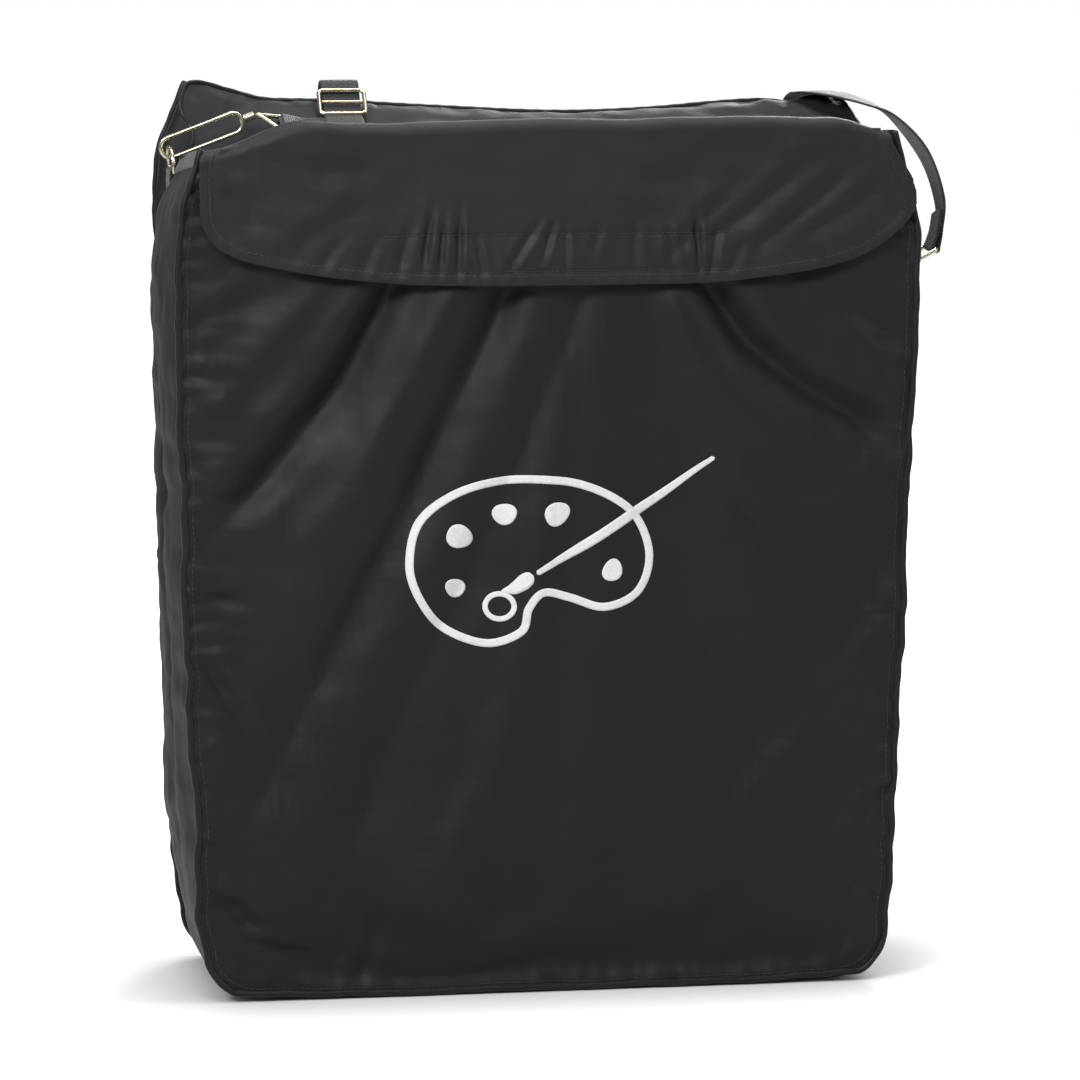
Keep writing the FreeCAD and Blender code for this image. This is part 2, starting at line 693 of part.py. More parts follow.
# the long free part hangs behind the back panel: two legs and a round bottom
free = new_body("strap_loop_webbing")
bend_x = size.loop_half - size.loop_r
bend_z = -size.loop_drop + size.loop_r
outer, inner = [[(-(size.loop_half - off), 0.0), (-(size.loop_half - off), bend_z),
                 (-bend_x, -size.loop_drop + off), (bend_x, -size.loop_drop + off),
                 (size.loop_half - off, bend_z), (size.loop_half - off, 0.0)]
                for off in (dim(0.0), web_thick)]
inner_r = size.loop_r - web_thick
free_bends = {1: (-bend_x, bend_z, size.loop_r, 225), 3: (bend_x, bend_z, size.loop_r, 315),
              7: (bend_x, bend_z, inner_r, 315), 9: (-bend_x, bend_z, inner_r, 225)}
pad(free, "webbing",
    outline(free, "profile", "XZ_Plane", outer + inner[::-1], free_bends), size.web_wide)
place(free, x=(size.strap_left_x + size.strap_right_x) / 2,
      y=size.half_depth + size.loop_behind + size.web_wide / 2, z=size.loop_top_z)

# ----------------------------------------------------------------- the flap

crest_y = -(size.half_depth + size.crest_out)
crest_z = size.crest_z
hinge_y = size.fold_y - size.flap_before_fold
hinge_z = size.fold_z + size.flap_above_fold
for name, low, high in (("flap_top_panel", 0.0, size.cloth),
                        ("flap_top_lining", -size.lining - size.layer_gap, -size.layer_gap)):
    top = new_body(name)
    points = [(crest_y, crest_z + low), (hinge_y, hinge_z + low),
              (hinge_y, hinge_z + high), (crest_y, crest_z + high)]
    pad(top, "sheet", outline(top, "profile", "YZ_Plane", points),
        (size.half_mouth - size.flap_top_short) * 2)
    place(top, x=size.flap_top_x)

# x, z round the hanging front of the flap, from its left upper corner
left, right, low = -size.flap_left, size.flap_right, size.flap_low
flap_top_z = crest_z - size.flap_below_crest
FLAP = [
    (left, flap_top_z), (left, low + 44.0), (left + 9.0, low + 24.0),
    (left + 26.0, low + 12.0), (left + 62.0, low + 5.0), (left + 130.0, low + 1.0),
    (0.0, low), (110.0, low + 1.0), (right - 56.0, low + 7.0), (right - 22.0, low + 17.0),
    (right - 5.0, low + 34.0), (right, low + 56.0), (right - 6.0, flap_top_z),
]
# the lining is the same outline, shrunk in x and z and lowered
LINING_SCALE_X = 0.985
LINING_SCALE_Z = 0.97
LINING_LOWER = 1.4
flap_y = -(size.half_depth + size.flap_out)

flap_front = new_body("flap_front_panel")
pad(flap_front, "sheet", outline(flap_front, "outline", "XZ_Plane", FLAP), size.cloth)
place(flap_front, y=flap_y)

flap_lining = new_body("flap_front_lining")
shrunk = [(x * LINING_SCALE_X, (z - crest_z) * LINING_SCALE_Z + crest_z - LINING_LOWER)
          for x, z in FLAP]
pad(flap_lining, "sheet", outline(flap_lining, "outline", "XZ_Plane", shrunk), size.lining)
place(flap_lining, y=flap_y + size.cloth / 2 + size.layer_gap + size.lining / 2)

# the hooked half of the hook-and-loop, inside the flap
hook_strip = new_body("flap_hook_strip")
hook_x = size.strip_half - size.hook_short
hook_top = size.strip_tall - size.hook_trim
pad(hook_strip, "strip",
    outline(hook_strip, "outline", "XZ_Plane",
            [(-hook_x, size.hook_trim), (hook_x, size.hook_trim),
             (hook_x, hook_top), (-hook_x, hook_top)]),
    size.hook_thick)
place(hook_strip, x=size.strip_x, z=size.strip_z,
      y=flap_y + size.cloth / 2 + size.layer_gap * 2 + size.lining + size.hook_thick / 2)

# ------------------------------------------------------------ check, write
doc.recompute()
for item in doc.Objects:
    if "Invalid" in item.State or "Error" in item.State:
        raise RuntimeError("%s failed: %s" % (item.Name, item.State))
for node in nodes:
    if node.Shape.isNull() or not node.Shape.isValid() or len(node.Shape.Solids) < 1:
        raise RuntimeError("bad shape: " + node.Label)
os.makedirs("parts", exist_ok=True)
for node in nodes:
    node.Shape.exportStep("parts/%s.step" % node.Label)
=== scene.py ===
# A soft black cloth case, about 480 mm wide, 150 mm deep and 585 mm tall, standing on z = 0.
# +X is right, -Y is the front and +Z is up. A flap crosses the top and hangs down the front,
# webbing straps run from rings at the two sides, and a long strap loop hangs behind the back.
# Shapes are worked out in millimetres and turned into metres in make().
import math
import bmesh
import bpy
import numpy as np
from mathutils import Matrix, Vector


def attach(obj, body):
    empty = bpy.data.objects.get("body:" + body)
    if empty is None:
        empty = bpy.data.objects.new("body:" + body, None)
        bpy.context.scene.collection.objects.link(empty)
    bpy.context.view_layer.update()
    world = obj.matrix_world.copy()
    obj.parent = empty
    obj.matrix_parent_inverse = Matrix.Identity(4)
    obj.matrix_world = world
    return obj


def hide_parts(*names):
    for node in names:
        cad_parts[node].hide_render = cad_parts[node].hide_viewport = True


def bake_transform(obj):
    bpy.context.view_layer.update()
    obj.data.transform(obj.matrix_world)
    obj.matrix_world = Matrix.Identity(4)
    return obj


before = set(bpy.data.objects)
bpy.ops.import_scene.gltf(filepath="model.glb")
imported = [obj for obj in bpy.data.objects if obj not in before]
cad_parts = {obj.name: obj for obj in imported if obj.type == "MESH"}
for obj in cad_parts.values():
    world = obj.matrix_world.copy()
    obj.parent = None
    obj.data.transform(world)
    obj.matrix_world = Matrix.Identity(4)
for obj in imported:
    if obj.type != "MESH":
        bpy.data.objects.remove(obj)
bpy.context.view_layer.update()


MM = 0.001
LEFT, RIGHT = -1, 1

# ------------------------------------------------------------- dimensions, mm

CORNER = 30.0                 # radius of the two bottom corners
FRONT_Y, BACK_Y = -73.0, 73.0  # planes of the front and back seams
BASE_SEAM_X = -20.0           # where the two gusset strips meet under the base
CLOTH_THICK = 1.3
FLAP_THICK = 1.15
LINING_THICK = 0.6
LINING_DEPTH = 1.35           # from the outer face of the flap to its lining
WEB_WIDTH, WEB_THICK = 25.0, 1.5
BIND_WIDTH, BIND_THICK = 12.0, 3.1
CREST_LEFT, CREST_RIGHT = -224.5, 217.6  # ends of the flap where it turns down
LEFT_TAB_Y, RIGHT_TAB_Y = 36.4, -10.0
HOOK_SEAMS = (470.5, 494.0)   # heights of the two seams across the flap

# Half width against height: (z, distance from x = 0).
LEFT_STATIONS = [0, 30, 56, 129, 228, 382, 485, 520, 545, 560, 590]
LEFT_FRONT = (LEFT_STATIONS, [222, 226, 229, 232, 236, 239, 239, 235, 227, 222, 212])
LEFT_BACK = (LEFT_STATIONS, [222, 226, 229, 232, 236, 239, 239.5, 239, 236, 230, 218])
RIGHT_SIDE = ([0, 30, 56, 129, 228, 350, 457, 490, 535, 560, 590],
              [219, 221, 222.5, 225.5, 229, 233, 238, 237.5, 229, 222, 213])

# Height of the top from front to back: (y, z).
TOP_PROFILE = ([-77, -60, -40, 0, 20, 24, 36, 48, 60, 73],
               [566.5, 565, 561.5, 555, 552.2, 551.9, 555.4, 559.6, 564.0, 569])
# Height of the rear edge of the top: (x, z).
REAR_EDGE = ([-236, -222, -214, -204, -192, -170, -136, -60,
              39, 100, 132, 169, 190, 204, 222, 236],
             [583, 584, 581, 575.4, 572.8, 572.2, 571.6, 567,
              562.6, 565, 567.6, 569, 567, 570.5, 571, 569])
# Height of the gusset rims: (y, z).
RIM_LEFT = ([-73, -40, 0, 20, 44, 55, 65, 73], [548.5, 545.5, 540, 535, 534, 551, 574, 584])
RIM_RIGHT = ([-73, -30, 20, 45, 60, 73], [557, 552, 549, 558, 567, 571])
# Lower edge of the flap: (x, z).
FLAP_EDGE = ([-226.5, -225.6, -224, -218, -205, -176.5, -142, -91, -30, 40,
              102, 140, 180, 203, 218, 228, 233.5, 236.2, 237],
             [511, 505, 500, 490, 482, 474.5, 468.4, 463.4, 462, 461.8,
              462.4, 466, 472, 479, 488.5, 497, 504, 511, 518])

# Folds: (path, half width, depth, sharpness, height of the bank, side of the bank,
# fade lengths at the start and the end). Paths are (x, z) on the front and the back.
FRONT_FOLD_SCALE = 1.45       # applied to depth and bank of FRONT_FOLDS
FRONT_FOLDS = [
    ([(-84, 500), (-104, 460), (-137, 400), (-176, 350), (-226, 300)],
     13.0, 9.8, 1.0, 4.4, -1, (10, 50)),
    ([(-18, 480), (-36, 440), (-70, 373), (-99, 313), (-142, 228), (-176, 159), (-212, 96)],
     18.0, 9.0, 0.9, 3.0, -1, (20, 70)),
    ([(28, 480), (10, 430), (-22, 350), (-62, 262), (-100, 185), (-138, 77)],
     18.0, 4.8, 0.9, 1.4, -1, (30, 70)),
    ([(84, 490), (102, 457), (128, 421), (166, 391), (228, 352)],
     14.0, 9.4, 1.0, 4.6, 1, (10, 40)),
    ([(112, 330), (145, 292), (182, 276), (232, 270)], 13.0, 3.4, 1.0, 1.6, 1, (40, 20)),
    ([(70, 300), (96, 228), (140, 150), (190, 96)], 26.0, 4.6, 0.8, 1.4, 1, (60, 60)),
    ([(-138, 478), (-186, 424), (-232, 372)], 20.0, -4.2, 1.0, 0.0, 1, (30, 30)),
    ([(-60, 470), (-96, 400), (-130, 344), (-176, 286)], 15.0, -2.6, 1.0, 0.0, 1, (20, 50)),
    ([(70, 470), (96, 408), (146, 356), (222, 318)], 17.0, -3.6, 1.0, 0.0, 1, (30, 30)),
    ([(150, 470), (184, 436), (232, 398)], 15.0, -2.6, 1.0, 0.0, 1, (20, 20)),
    ([(-60, 150), (-40, 90), (-34, 30)], 18.0, 2.4, 0.9, 1.0, 1, (50, 20)),
    ([(60, 150), (58, 90), (50, 24)], 22.0, 2.2, 0.9, 0.8, -1, (50, 20)),
    ([(-232, 225), (-205, 190), (-188, 140)], 8.0, 2.6, 1.0, 1.4, 1, (10, 30)),
    ([(-236, 270), (-214, 262), (-190, 262)], 6.0, 2.2, 1.0, 1.4, 1, (6, 20)),
    ([(-226, 70), (-206, 60), (-186, 38)], 7.0, 2.6, 1.0, 1.6, 1, (6, 16)),
    ([(-206, 40), (-178, 30), (-140, 26)], 5.0, 1.8, 1.0, 1.0, 1, (10, 30)),
    ([(-130, 8), (-118, 30), (-112, 60)], 6.0, 1.6, 1.0, 0.9, 1, (6, 24)),
    ([(226, 120), (206, 112), (188, 118)], 7.0, 1.8, 1.0, 1.2, 1, (6, 20)),
    ([(222, 60), (200, 66), (182, 84)], 7.0, 2.0, 1.0, 1.2, 1, (6, 20)),
    ([(236, 420), (214, 430), (186, 452)], 8.0, 2.6, 1.0, 1.6, 1, (6, 30)),
    ([(-238, 440), (-214, 446), (-176, 462)], 9.0, 2.6, 1.0, 1.4, 1, (6, 30)),
    ([(-238, 410), (-220, 402), (-196, 404)], 7.0, 2.0, 1.0, 1.2, 1, (6, 20)),
]
BACK_FOLDS = [
    ([(-190, 540), (-120, 430), (-60, 300), (-40, 160)], 20, 7.0, 0.9, 2.2, 1, (60, 80)),
    ([(190, 545), (150, 420), (60, 300)], 18, 7.0, 0.9, 2.2, -1, (40, 80)),
    ([(-20, 540), (0, 470), (60, 380)], 18, 5.0, 0.9, 1.6, -1, (40, 80)),
    ([(210, 230), (120, 150), (40, 60)], 20, 5.0, 0.9, 1.6, 1, (40, 60)),
]
# The same columns, with (x, y) paths, for the two parts of the top.
REAR_TOP_FOLDS = [
    ([(-222, 70), (-196, 60), (-170, 66)], 5, 2.08, 1.0, 1.12, 1, (6, 14)),
    ([(222, 70), (204, 58), (176, 52), (150, 54)], 6, 1.54, 1.0, 0.98, -1, (6, 20)),
    ([(204, 70), (190, 62), (172, 62)], 4, 1.12, 1.0, 0.7, -1, (4, 12)),
]
FLAP_TOP_FOLDS = [
    ([(-190, 12), (-120, -8), (-40, -2), (40, -20)], 9, 1.8, 1.0, 1.2, 1, (30, 60)),
    ([(200, 16), (150, -14), (90, -24)], 9, 1.6, 1.0, 1.2, -1, (30, 60)),
]
FLAP_FOLDS = [(path, width, depth, 1.0, depth * 0.7, 1, (12, 16)) for path, width, depth in (
    ([(96, 486), (128, 508), (160, 532)], 5.5, 1.9),
    ([(124, 480), (160, 504), (196, 534)], 6.5, 2.2),
    ([(160, 490), (188, 504), (214, 522)], 6.0, 1.7),
    ([(-190, 545), (-150, 535), (-110, 536)], 8.0, 1.3),
    ([(-214, 528), (-196, 512), (-190, 494)], 7.0, 1.5),
    ([(30, 540), (60, 528), (104, 530)], 9.0, 1.0),
    ([(70, 474), (96, 500), (118, 520)], 6.0, 1.3),
    ([(-170, 484), (-150, 500), (-118, 512)], 8.0, 1.2))]
# Upright gathers in the flap: (x at GATHER_Z, depth, width, lean, middle z, half height).
GATHER_Z = 487
GATHERS = [
    (-118, 1.2, 4.2, 0.35, 480, 12), (-97, 1.6, 3.4, 0.25, 484, 15),
    (-83, 2.6, 2.6, 0.16, 490, 17), (-73, 2.2, 2.2, 0.1, 486, 16),
    (-62, 2.7, 2.6, 0.05, 488, 20), (-50, 1.7, 2.6, -0.15, 479, 12),
    (-34, 1.2, 2.8, -0.5, 474, 9), (-20, 1.8, 3.4, 0.62, 486, 15),
    (-5, 1.7, 2.4, 0.3, 489, 13), (7, 1.3, 2.6, 0.0, 484, 14),
    (26, 0.9, 3.4, 0.2, 490, 11), (52, 1.1, 3.2, 0.0, 487, 13),
    (75, 1.3, 3.0, -0.1, 485, 14), (93, 2.6, 2.3, -0.06, 487, 18),
    (104, 1.5, 2.8, 0.16, 482, 14), (-142, 1.0, 5.0, 0.7, 482, 11),
    (122, 1.0, 4.0, 0.5, 480, 10),
]

# ---------------------------------------------------------------------- maths


def ease(t):
    """Smooth step from 0 to 1."""
    t = np.clip(t, 0.0, 1.0)
    return t * t * (3 - 2 * t)


def mix(a, b, share):
    return a * (1 - share) + b * share


def bell(x, centre, width, power=2):
    return np.exp(-np.abs((x - centre) / width) ** power)


def unit(vectors):
    return vectors / np.maximum(np.linalg.norm(vectors, axis=-1, keepdims=True), 1e-9)


def join(*coords):
    """Points from separate coordinates, spread to a common shape."""
    return np.stack(np.broadcast_arrays(*coords), -1)


def lookup(x, table):
    """Smooth cubic curve through the points of a table."""
    x = np.asarray(x, float)
    xs, ys = np.asarray(table, float)
    slope = np.gradient(ys, xs)
    i = np.clip(np.searchsorted(xs, x) - 1, 0, len(xs) - 2)
    step = xs[i + 1] - xs[i]
    t = np.clip((x - xs[i]) / step, 0, 1)
    return ((2 * t**3 - 3 * t**2 + 1) * ys[i] + (t**3 - 2 * t**2 + t) * step * slope[i]
            + (-2 * t**3 + 3 * t**2) * ys[i + 1] + (t**3 - t**2) * step * slope[i + 1])


def ripple(a, b, size, seed, octaves=3):
    """Smooth seeded noise of two coordinates, about -1..1, with waves near size mm long."""
    rng = np.random.RandomState(seed)
    a = np.asarray(a, float)
    b = np.asarray(b, float)
    total = np.zeros(np.broadcast(a, b).shape)
    height, height_sum = 1.0, 0.0
    for octave in range(octaves):
        for _ in range(5):
            angle = rng.rand() * 2 * math.pi
            rate = 2 * math.pi / (size * (0.75 + 0.6 * rng.rand())) * (1.9**octave)
            phase = rng.rand() * 2 * math.pi
            cos, sin = math.cos(angle), math.sin(angle)
            bend = 0.7 * np.sin(rate * 0.6 * (b * cos - a * sin) + phase * 2)
            total = total + height * np.sin(rate * (a * cos + b * sin) + phase + bend)
        height_sum += height * 2.2
        height *= 0.5
    return total / height_sum


def fold(x, z, path, width, depth, sharp, ridge, side, fade):
    """A valley along a path, with a raised bank on one side."""
    path = np.asarray(path, float)
    nearest = np.full(x.shape, 1e9)
    sign = np.zeros(x.shape)
    along = np.zeros(x.shape)
    run = 0.0
    for start, stop in zip(path[:-1], path[1:]):
        step = stop - start
        length = math.hypot(*step)
        t = ((x - start[0]) * step[0] + (z - start[1]) * step[1]) / (length * length)
        t = np.clip(t, 0, 1)
        distance = np.hypot(x - (start[0] + t * step[0]), z - (start[1] + t * step[1]))
        cross = (step[0] * (z - start[1]) - step[1] * (x - start[0])) / length
        closer = distance < nearest
        nearest = np.where(closer, distance, nearest)
        sign = np.where(closer, np.sign(cross), sign)
        along = np.where(closer, run + t * length, along)
        run += length
    offset = nearest * sign * side
    ends = ease(along / fade[0]) * ease((run - along) / fade[1])
    width = width * (0.75 + 0.35 * along / run)
    valley = -depth * np.exp(-np.abs(offset / width) ** (1.6 * sharp))
    bank = ridge * np.exp(-((offset - 1.7 * width) / (1.25 * width)) ** 2)
    return (valley + bank) * (0.15 + 0.85 * ends)


def folds(x, z, table, scale=1.0):
    total = np.zeros(x.shape)
    for path, width, depth, sharp, ridge, side, fade in table:
        total = total + fold(x, z, path, width, depth * scale, sharp, ridge * scale, side, fade)
    return total


def arc_length(path):
    return np.r_[0, np.cumsum(np.linalg.norm(np.diff(path, axis=0), axis=1))]


def at_lengths(lengths, run, path):
    return join(*(np.interp(lengths, run, column) for column in path.T))


def resample(path, step):
    """Even points along a path, about one step apart."""
    path = np.asarray(path, float)
    run = arc_length(path)
    count = max(2, int(round(run[-1] / step)) + 1)
    return at_lengths(np.linspace(0, run[-1], count), run, path)


def smooth_path(points, steps, closed=False):
    """Catmull-Rom curve through points."""
    points = np.asarray(points, float)
    if closed:
        knots = np.vstack([points[-1], points, points[0], points[1]])
        spans = len(points)
    else:
        knots = np.vstack([2 * points[0] - points[1], points, 2 * points[-1] - points[-2]])
        spans = len(points) - 1
    curve = []
    for i in range(spans):
        p0, p1, p2, p3 = knots[i:i + 4]
        for t in np.linspace(0, 1, steps, endpoint=False):
            curve.append(0.5 * ((2 * p1) + (-p0 + p2) * t + (2 * p0 - 5 * p1 + 4 * p2 - p3) * t * t
                                + (-p0 + 3 * p1 - 3 * p2 + p3) * t**3))
    if not closed:
        curve.append(points[-1])
    return np.array(curve)


def smooth_knots(knots, count):
    """Smooth centre line and width directions through (point, direction) knots."""
    curve = smooth_path([[*point, *across] for point, across in knots], 16)
    run = arc_length(curve[:, :3])
    even = at_lengths(np.linspace(0, run[-1], count), run, curve)
    return even[:, :3], even[:, 3:]


def running_mean(path, span):
    kernel = np.ones(span) / span
    return join(*(np.convolve(np.pad(column, span // 2, mode="edge"), kernel, "valid")
                  for column in path.T))


def arc(centre_x, centre_z, radius, start, stop, count=18):
    angle = np.radians(np.linspace(start, stop, count))
    return join(centre_x + radius * np.cos(angle), centre_z + radius * np.sin(angle))


def uneven(count, share):
    """Steps from 0 to 1, closer together near both ends."""
    u = np.linspace(0, 1, count)
    return (1 - share) * u + share * (0.5 - 0.5 * np.cos(math.pi * u))


# ---------------------------------------------------------------- mesh makers


def make(name, verts, faces, material, uv=None):
    mesh = bpy.data.meshes.new(name)
    verts = np.asarray(verts, float) * MM
    mesh.from_pydata(verts.tolist(), [], [list(map(int, face)) for face in faces])
    mesh.update()
    if uv is not None:
        layer = mesh.uv_layers.new(name="UVMap")
        index = np.zeros(len(mesh.loops), np.int32)
        mesh.loops.foreach_get("vertex_index", index)
        uv = (np.asarray(uv, float)[index] * MM).astype(np.float32)
        layer.data.foreach_set("uv", uv.ravel())
    mesh.polygons.foreach_set("use_smooth", [True] * len(mesh.polygons))
    mesh.materials.append(material)
    piece = bpy.data.objects.new(name, mesh)
    bpy.context.scene.collection.objects.link(piece)
    return piece


def fix_normals(piece):
    work = bmesh.new()
    work.from_mesh(piece.data)
    bmesh.ops.recalc_face_normals(work, faces=work.faces)
    work.to_mesh(piece.data)
    work.free()


def build(name, parts, material, fix=True):
    """One object from parts, each given as (verts, faces, uv)."""
    verts, faces, uvs, count = [], [], [], 0
    for part_verts, part_faces, part_uv in parts:
        verts.append(part_verts)
        uvs.append(part_uv)
        faces += [tuple(i + count for i in face) for face in part_faces]
        count += len(part_verts)
    piece = make(name, np.vstack(verts), faces, material, np.vstack(uvs))
    if fix:
        fix_normals(piece)
    return piece


def place(piece, body, slot, *nodes):
    """Attach a piece to the body it rides on (none if body is None) and hide the CAD parts it
    replaces; the slot argument is not used.
    """
    if body:
        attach(piece, body)
    if nodes:
        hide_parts(*nodes)
    return piece


def grid_normals(grid):
    return unit(np.cross(np.gradient(grid, axis=0), np.gradient(grid, axis=1)))


def grid_quads(index):
    corners = index[:-1, :-1], index[1:, :-1], index[1:, 1:], index[:-1, 1:]
    return np.stack([corner.ravel() for corner in corners], 1)


def sheet(name, outer, thick, material, uv, flip=False):
    """Cloth of real thickness from a grid of its outer face, with rounded edges."""
    size = outer.shape[0] * outer.shape[1]
    normals = grid_normals(outer)
    if flip:
        normals = -normals
    inner = outer - normals * thick
    index = np.arange(size).reshape(outer.shape[:2])
    quads = grid_quads(index)
    if flip:
        quads = quads[:, ::-1]
    faces = [quads, quads[:, ::-1] + size]
    border = np.concatenate([index[:, 0], index[-1, 1:], index[-2::-1, -1], index[0, -2:0:-1]])
    count = len(border)
    edge_out = outer.reshape(-1, 3)[border]
    edge_in = inner.reshape(-1, 3)[border]
    along = np.roll(edge_out, -1, 0) - np.roll(edge_out, 1, 0)
    outward = unit(np.cross(along, normals.reshape(-1, 3)[border]))
    # the first step in from the border tells which way is outward
    inward = np.concatenate([
        outer[:, 1] - outer[:, 0], (outer[-2] - outer[-1])[1:],
        (outer[:, -2] - outer[:, -1])[-2::-1], (outer[1] - outer[0])[-2:0:-1]])
    sign = np.sign((outward * inward).sum(1))
    sign[sign == 0] = 1
    outward = -outward * sign[:, None]
    # each ring of the round edge: share of the way in, reach outward in thicknesses
    rings = [edge_out + (edge_in - edge_out) * way + outward * thick * reach
             for way, reach in ((0.25, 0.36), (0.5, 0.5), (0.75, 0.36))]
    loops = [border] + [2 * size + i * count + np.arange(count) for i in range(3)]
    loops.append(border + size)
    for a, b in zip(loops[:-1], loops[1:]):
        quads = np.stack([a, b, np.roll(b, -1), np.roll(a, -1)], 1)
        faces.append(quads if flip else quads[:, ::-1])
    uv = uv.reshape(-1, 2)
    verts = np.vstack([outer.reshape(-1, 3), inner.reshape(-1, 3)] + rings)
    piece = make(name, verts, np.vstack(faces), material, np.vstack([uv, uv] + [uv[border]] * 3))
    fix_normals(piece)
    return piece


def band(a, b):
    """Quads between two closed rings of vertex numbers."""
    count = len(a)
    return [(a[k], a[(k + 1) % count], b[(k + 1) % count], b[k]) for k in range(count)]


def loft_faces(count, size, closed=False):
    """Skin over count rings of size points; an open skin ends in two flat faces."""
    rings = [range(i * size, (i + 1) * size) for i in range(count)]
    spans = count if closed else count - 1
    faces = [face for i in range(spans) for face in band(rings[i], rings[(i + 1) % count])]
    if not closed:
        faces += [tuple(rings[0])[::-1], tuple(rings[-1])]
    return faces


def tube_part(path, radius, sides):
    """Round cord with domed ends; radius is given at each point."""
    tangent = unit(np.gradient(path, axis=0))
    across = np.zeros_like(path)
    normal = np.cross(tangent[0], [0.3, 0.2, 0.93])
    if np.linalg.norm(normal) < 1e-3:
        normal = np.cross(tangent[0], [1, 0, 0])
    normal = unit(normal)
    for i, direction in enumerate(tangent):
        normal = unit(normal - direction * (normal @ direction))
        across[i] = normal
    up = np.cross(tangent, across)
    count = len(path)
    angle = np.linspace(0, 2 * math.pi, sides, endpoint=False)
    circle = (across[:, None] * np.cos(angle)[None, :, None]
              + up[:, None] * np.sin(angle)[None, :, None])
    verts = [(path[:, None] + radius[:, None, None] * circle).reshape(-1, 3)]
    faces = loft_faces(count, sides)[:-2]
    total = count * sides
    for end, sign in ((0, -1), (count - 1, 1)):
        ring = range(end * sides, (end + 1) * sides)
        reach = tangent[end] * sign * radius[end]
        for q in (0.5, 0.85):
            dome = radius[end] * math.sqrt(1 - q * q) * circle[end]
            verts.append(path[end] + reach * q + dome)
            smaller = range(total, total + sides)
            faces += [face[::sign] for face in band(ring, smaller)]
            ring = smaller
            total += sides
        verts.append((path[end] + reach)[None])
        faces += [(ring[k], ring[(k + 1) % sides], total)[::sign] for k in range(sides)]
        total += 1
    uv = join(np.repeat(arc_length(path), sides), np.tile(angle * radius.mean(), count))
    return np.vstack(verts), faces, np.vstack([uv, np.zeros((total - len(uv), 2))])


def ribbon_part(centre, across, width, thick, flat=9, curl=0.0):
    """Flat band along a centre line; across is its width direction."""
    tangent = unit(np.gradient(centre, axis=0))
    across = np.asarray(across, float)
    across = unit(across - tangent * (across * tangent).sum(1, keepdims=True))
    normal = np.cross(tangent, across)
    # cross-section: face, round edge, other face, other round edge
    row = np.linspace(-1, 1, flat)
    turn = np.linspace(0, math.pi, 6)[1:-1]
    base = np.r_[row, np.ones(4), -row, -np.ones(4)]
    side = np.r_[0 * row, np.sin(turn), 0 * row, -np.sin(turn)]
    up = np.r_[np.ones(flat), np.cos(turn), -np.ones(flat), -np.cos(turn)]
    sideways = (width / 2 - thick / 2) * base + thick / 2 * side
    outward = thick / 2 * up + curl * (base * base - 0.33)
    verts = (centre[:, None] + across[:, None] * sideways[None, :, None]
             + normal[:, None] * outward[None, :, None])
    count, size = verts.shape[:2]
    uv = join(np.repeat(arc_length(centre), size), np.tile(base * 12.5, count))
    return verts.reshape(-1, 3), loft_faces(count, size), uv


def ribbon(name, centre, across, width, thick, material, **shape):
    return build(name, [ribbon_part(centre, across, width, thick, **shape)], material)


def webbing(name, centre, across, **shape):
    return ribbon(name, centre, across, WEB_WIDTH, WEB_THICK, WEBBING, **shape)


def stitches(path, normal, length, gap, radius, lift):
    """Thread on a surface: short rounded dashes along a path."""
    run = arc_length(path)
    height = lift + radius * 0.55 * np.sin(np.linspace(0.12, 0.88, 6) * math.pi) - 0.12
    radii = radius * (0.55 + 0.45 * np.sin(np.linspace(0.1, 0.9, 6) * math.pi))
    raised = height[:, None] * np.asarray(normal, float)
    parts = []
    start = 0.4
    while start + length < run[-1]:
        centre = at_lengths(np.linspace(start, start + length, 6), run, path)
        parts.append(tube_part(centre + raised, radii, sides=6))
        start += length + gap
    return parts


# ------------------------------------------------------- surfaces of the case


def half_width(z, side, y=FRONT_Y):
    """Distance from x = 0 to the side of the case at a height and depth."""
    z = np.asarray(z, float)
    y = np.asarray(y, float)
    if side == LEFT:
        width = mix(lookup(z, LEFT_FRONT), lookup(z, LEFT_BACK), ease((y - 35) / 35))
    else:
        width = lookup(z, RIGHT_SIDE) + 0 * y
    low = np.clip(z, 0, CORNER)
    curve = np.sqrt(np.maximum(CORNER * CORNER - (CORNER - low) ** 2, 0))
    return np.where(z < CORNER, width - CORNER + curve, width)


def panel_x(u, z, y):
    """X of a panel column u (0 left, 1 right)."""
    return mix(-half_width(z, LEFT, y), half_width(z, RIGHT, y), u)


def warp(x, y, z):
    """Points with the small unevenness that every sewn part shares."""
    x, y, z = (np.asarray(v, float) for v in (x, y, z))
    foot = 1 - ease(z / 80.0)
    sides = ease((np.abs(x) - 60) / 150)
    seams = 0.55 * (1 + ripple(x, y * 0.4, size=70, seed=3)) * ease((np.abs(y) - 45) / 28)
    wave = (1.5 * ripple(z + np.where(x > 0, 700, 0), y * 0.3, size=120, seed=5)
            + 0.7 * ripple(z, y * 0.3 + np.where(x > 0, 90, 0), size=38, seed=6))
    return join(x + np.sign(x) * sides * wave * ease((560 - z) / 60 + 0.3),
                y + 1.3 * ripple(x, z, size=240, seed=7) * ease(z / 60),
                z + foot * (2.6 * ease((np.abs(x) - 120) / 90) + seams))


def seam_gap(x, z, y):
    """Distance from the edge seam of the front or back panel."""
    gap = np.minimum(x + half_width(z, LEFT, y), half_width(z, RIGHT, y) - x)
    gap = np.minimum(gap, z)
    for side in (LEFT, RIGHT):
        centre = side * (half_width(CORNER + 1.0, side, y) - CORNER)
        in_corner = (z < CORNER) & ((x - centre) * side > 0)
        gap = np.where(in_corner, CORNER - np.hypot(x - centre, z - CORNER), gap)
    return np.maximum(gap, 0)


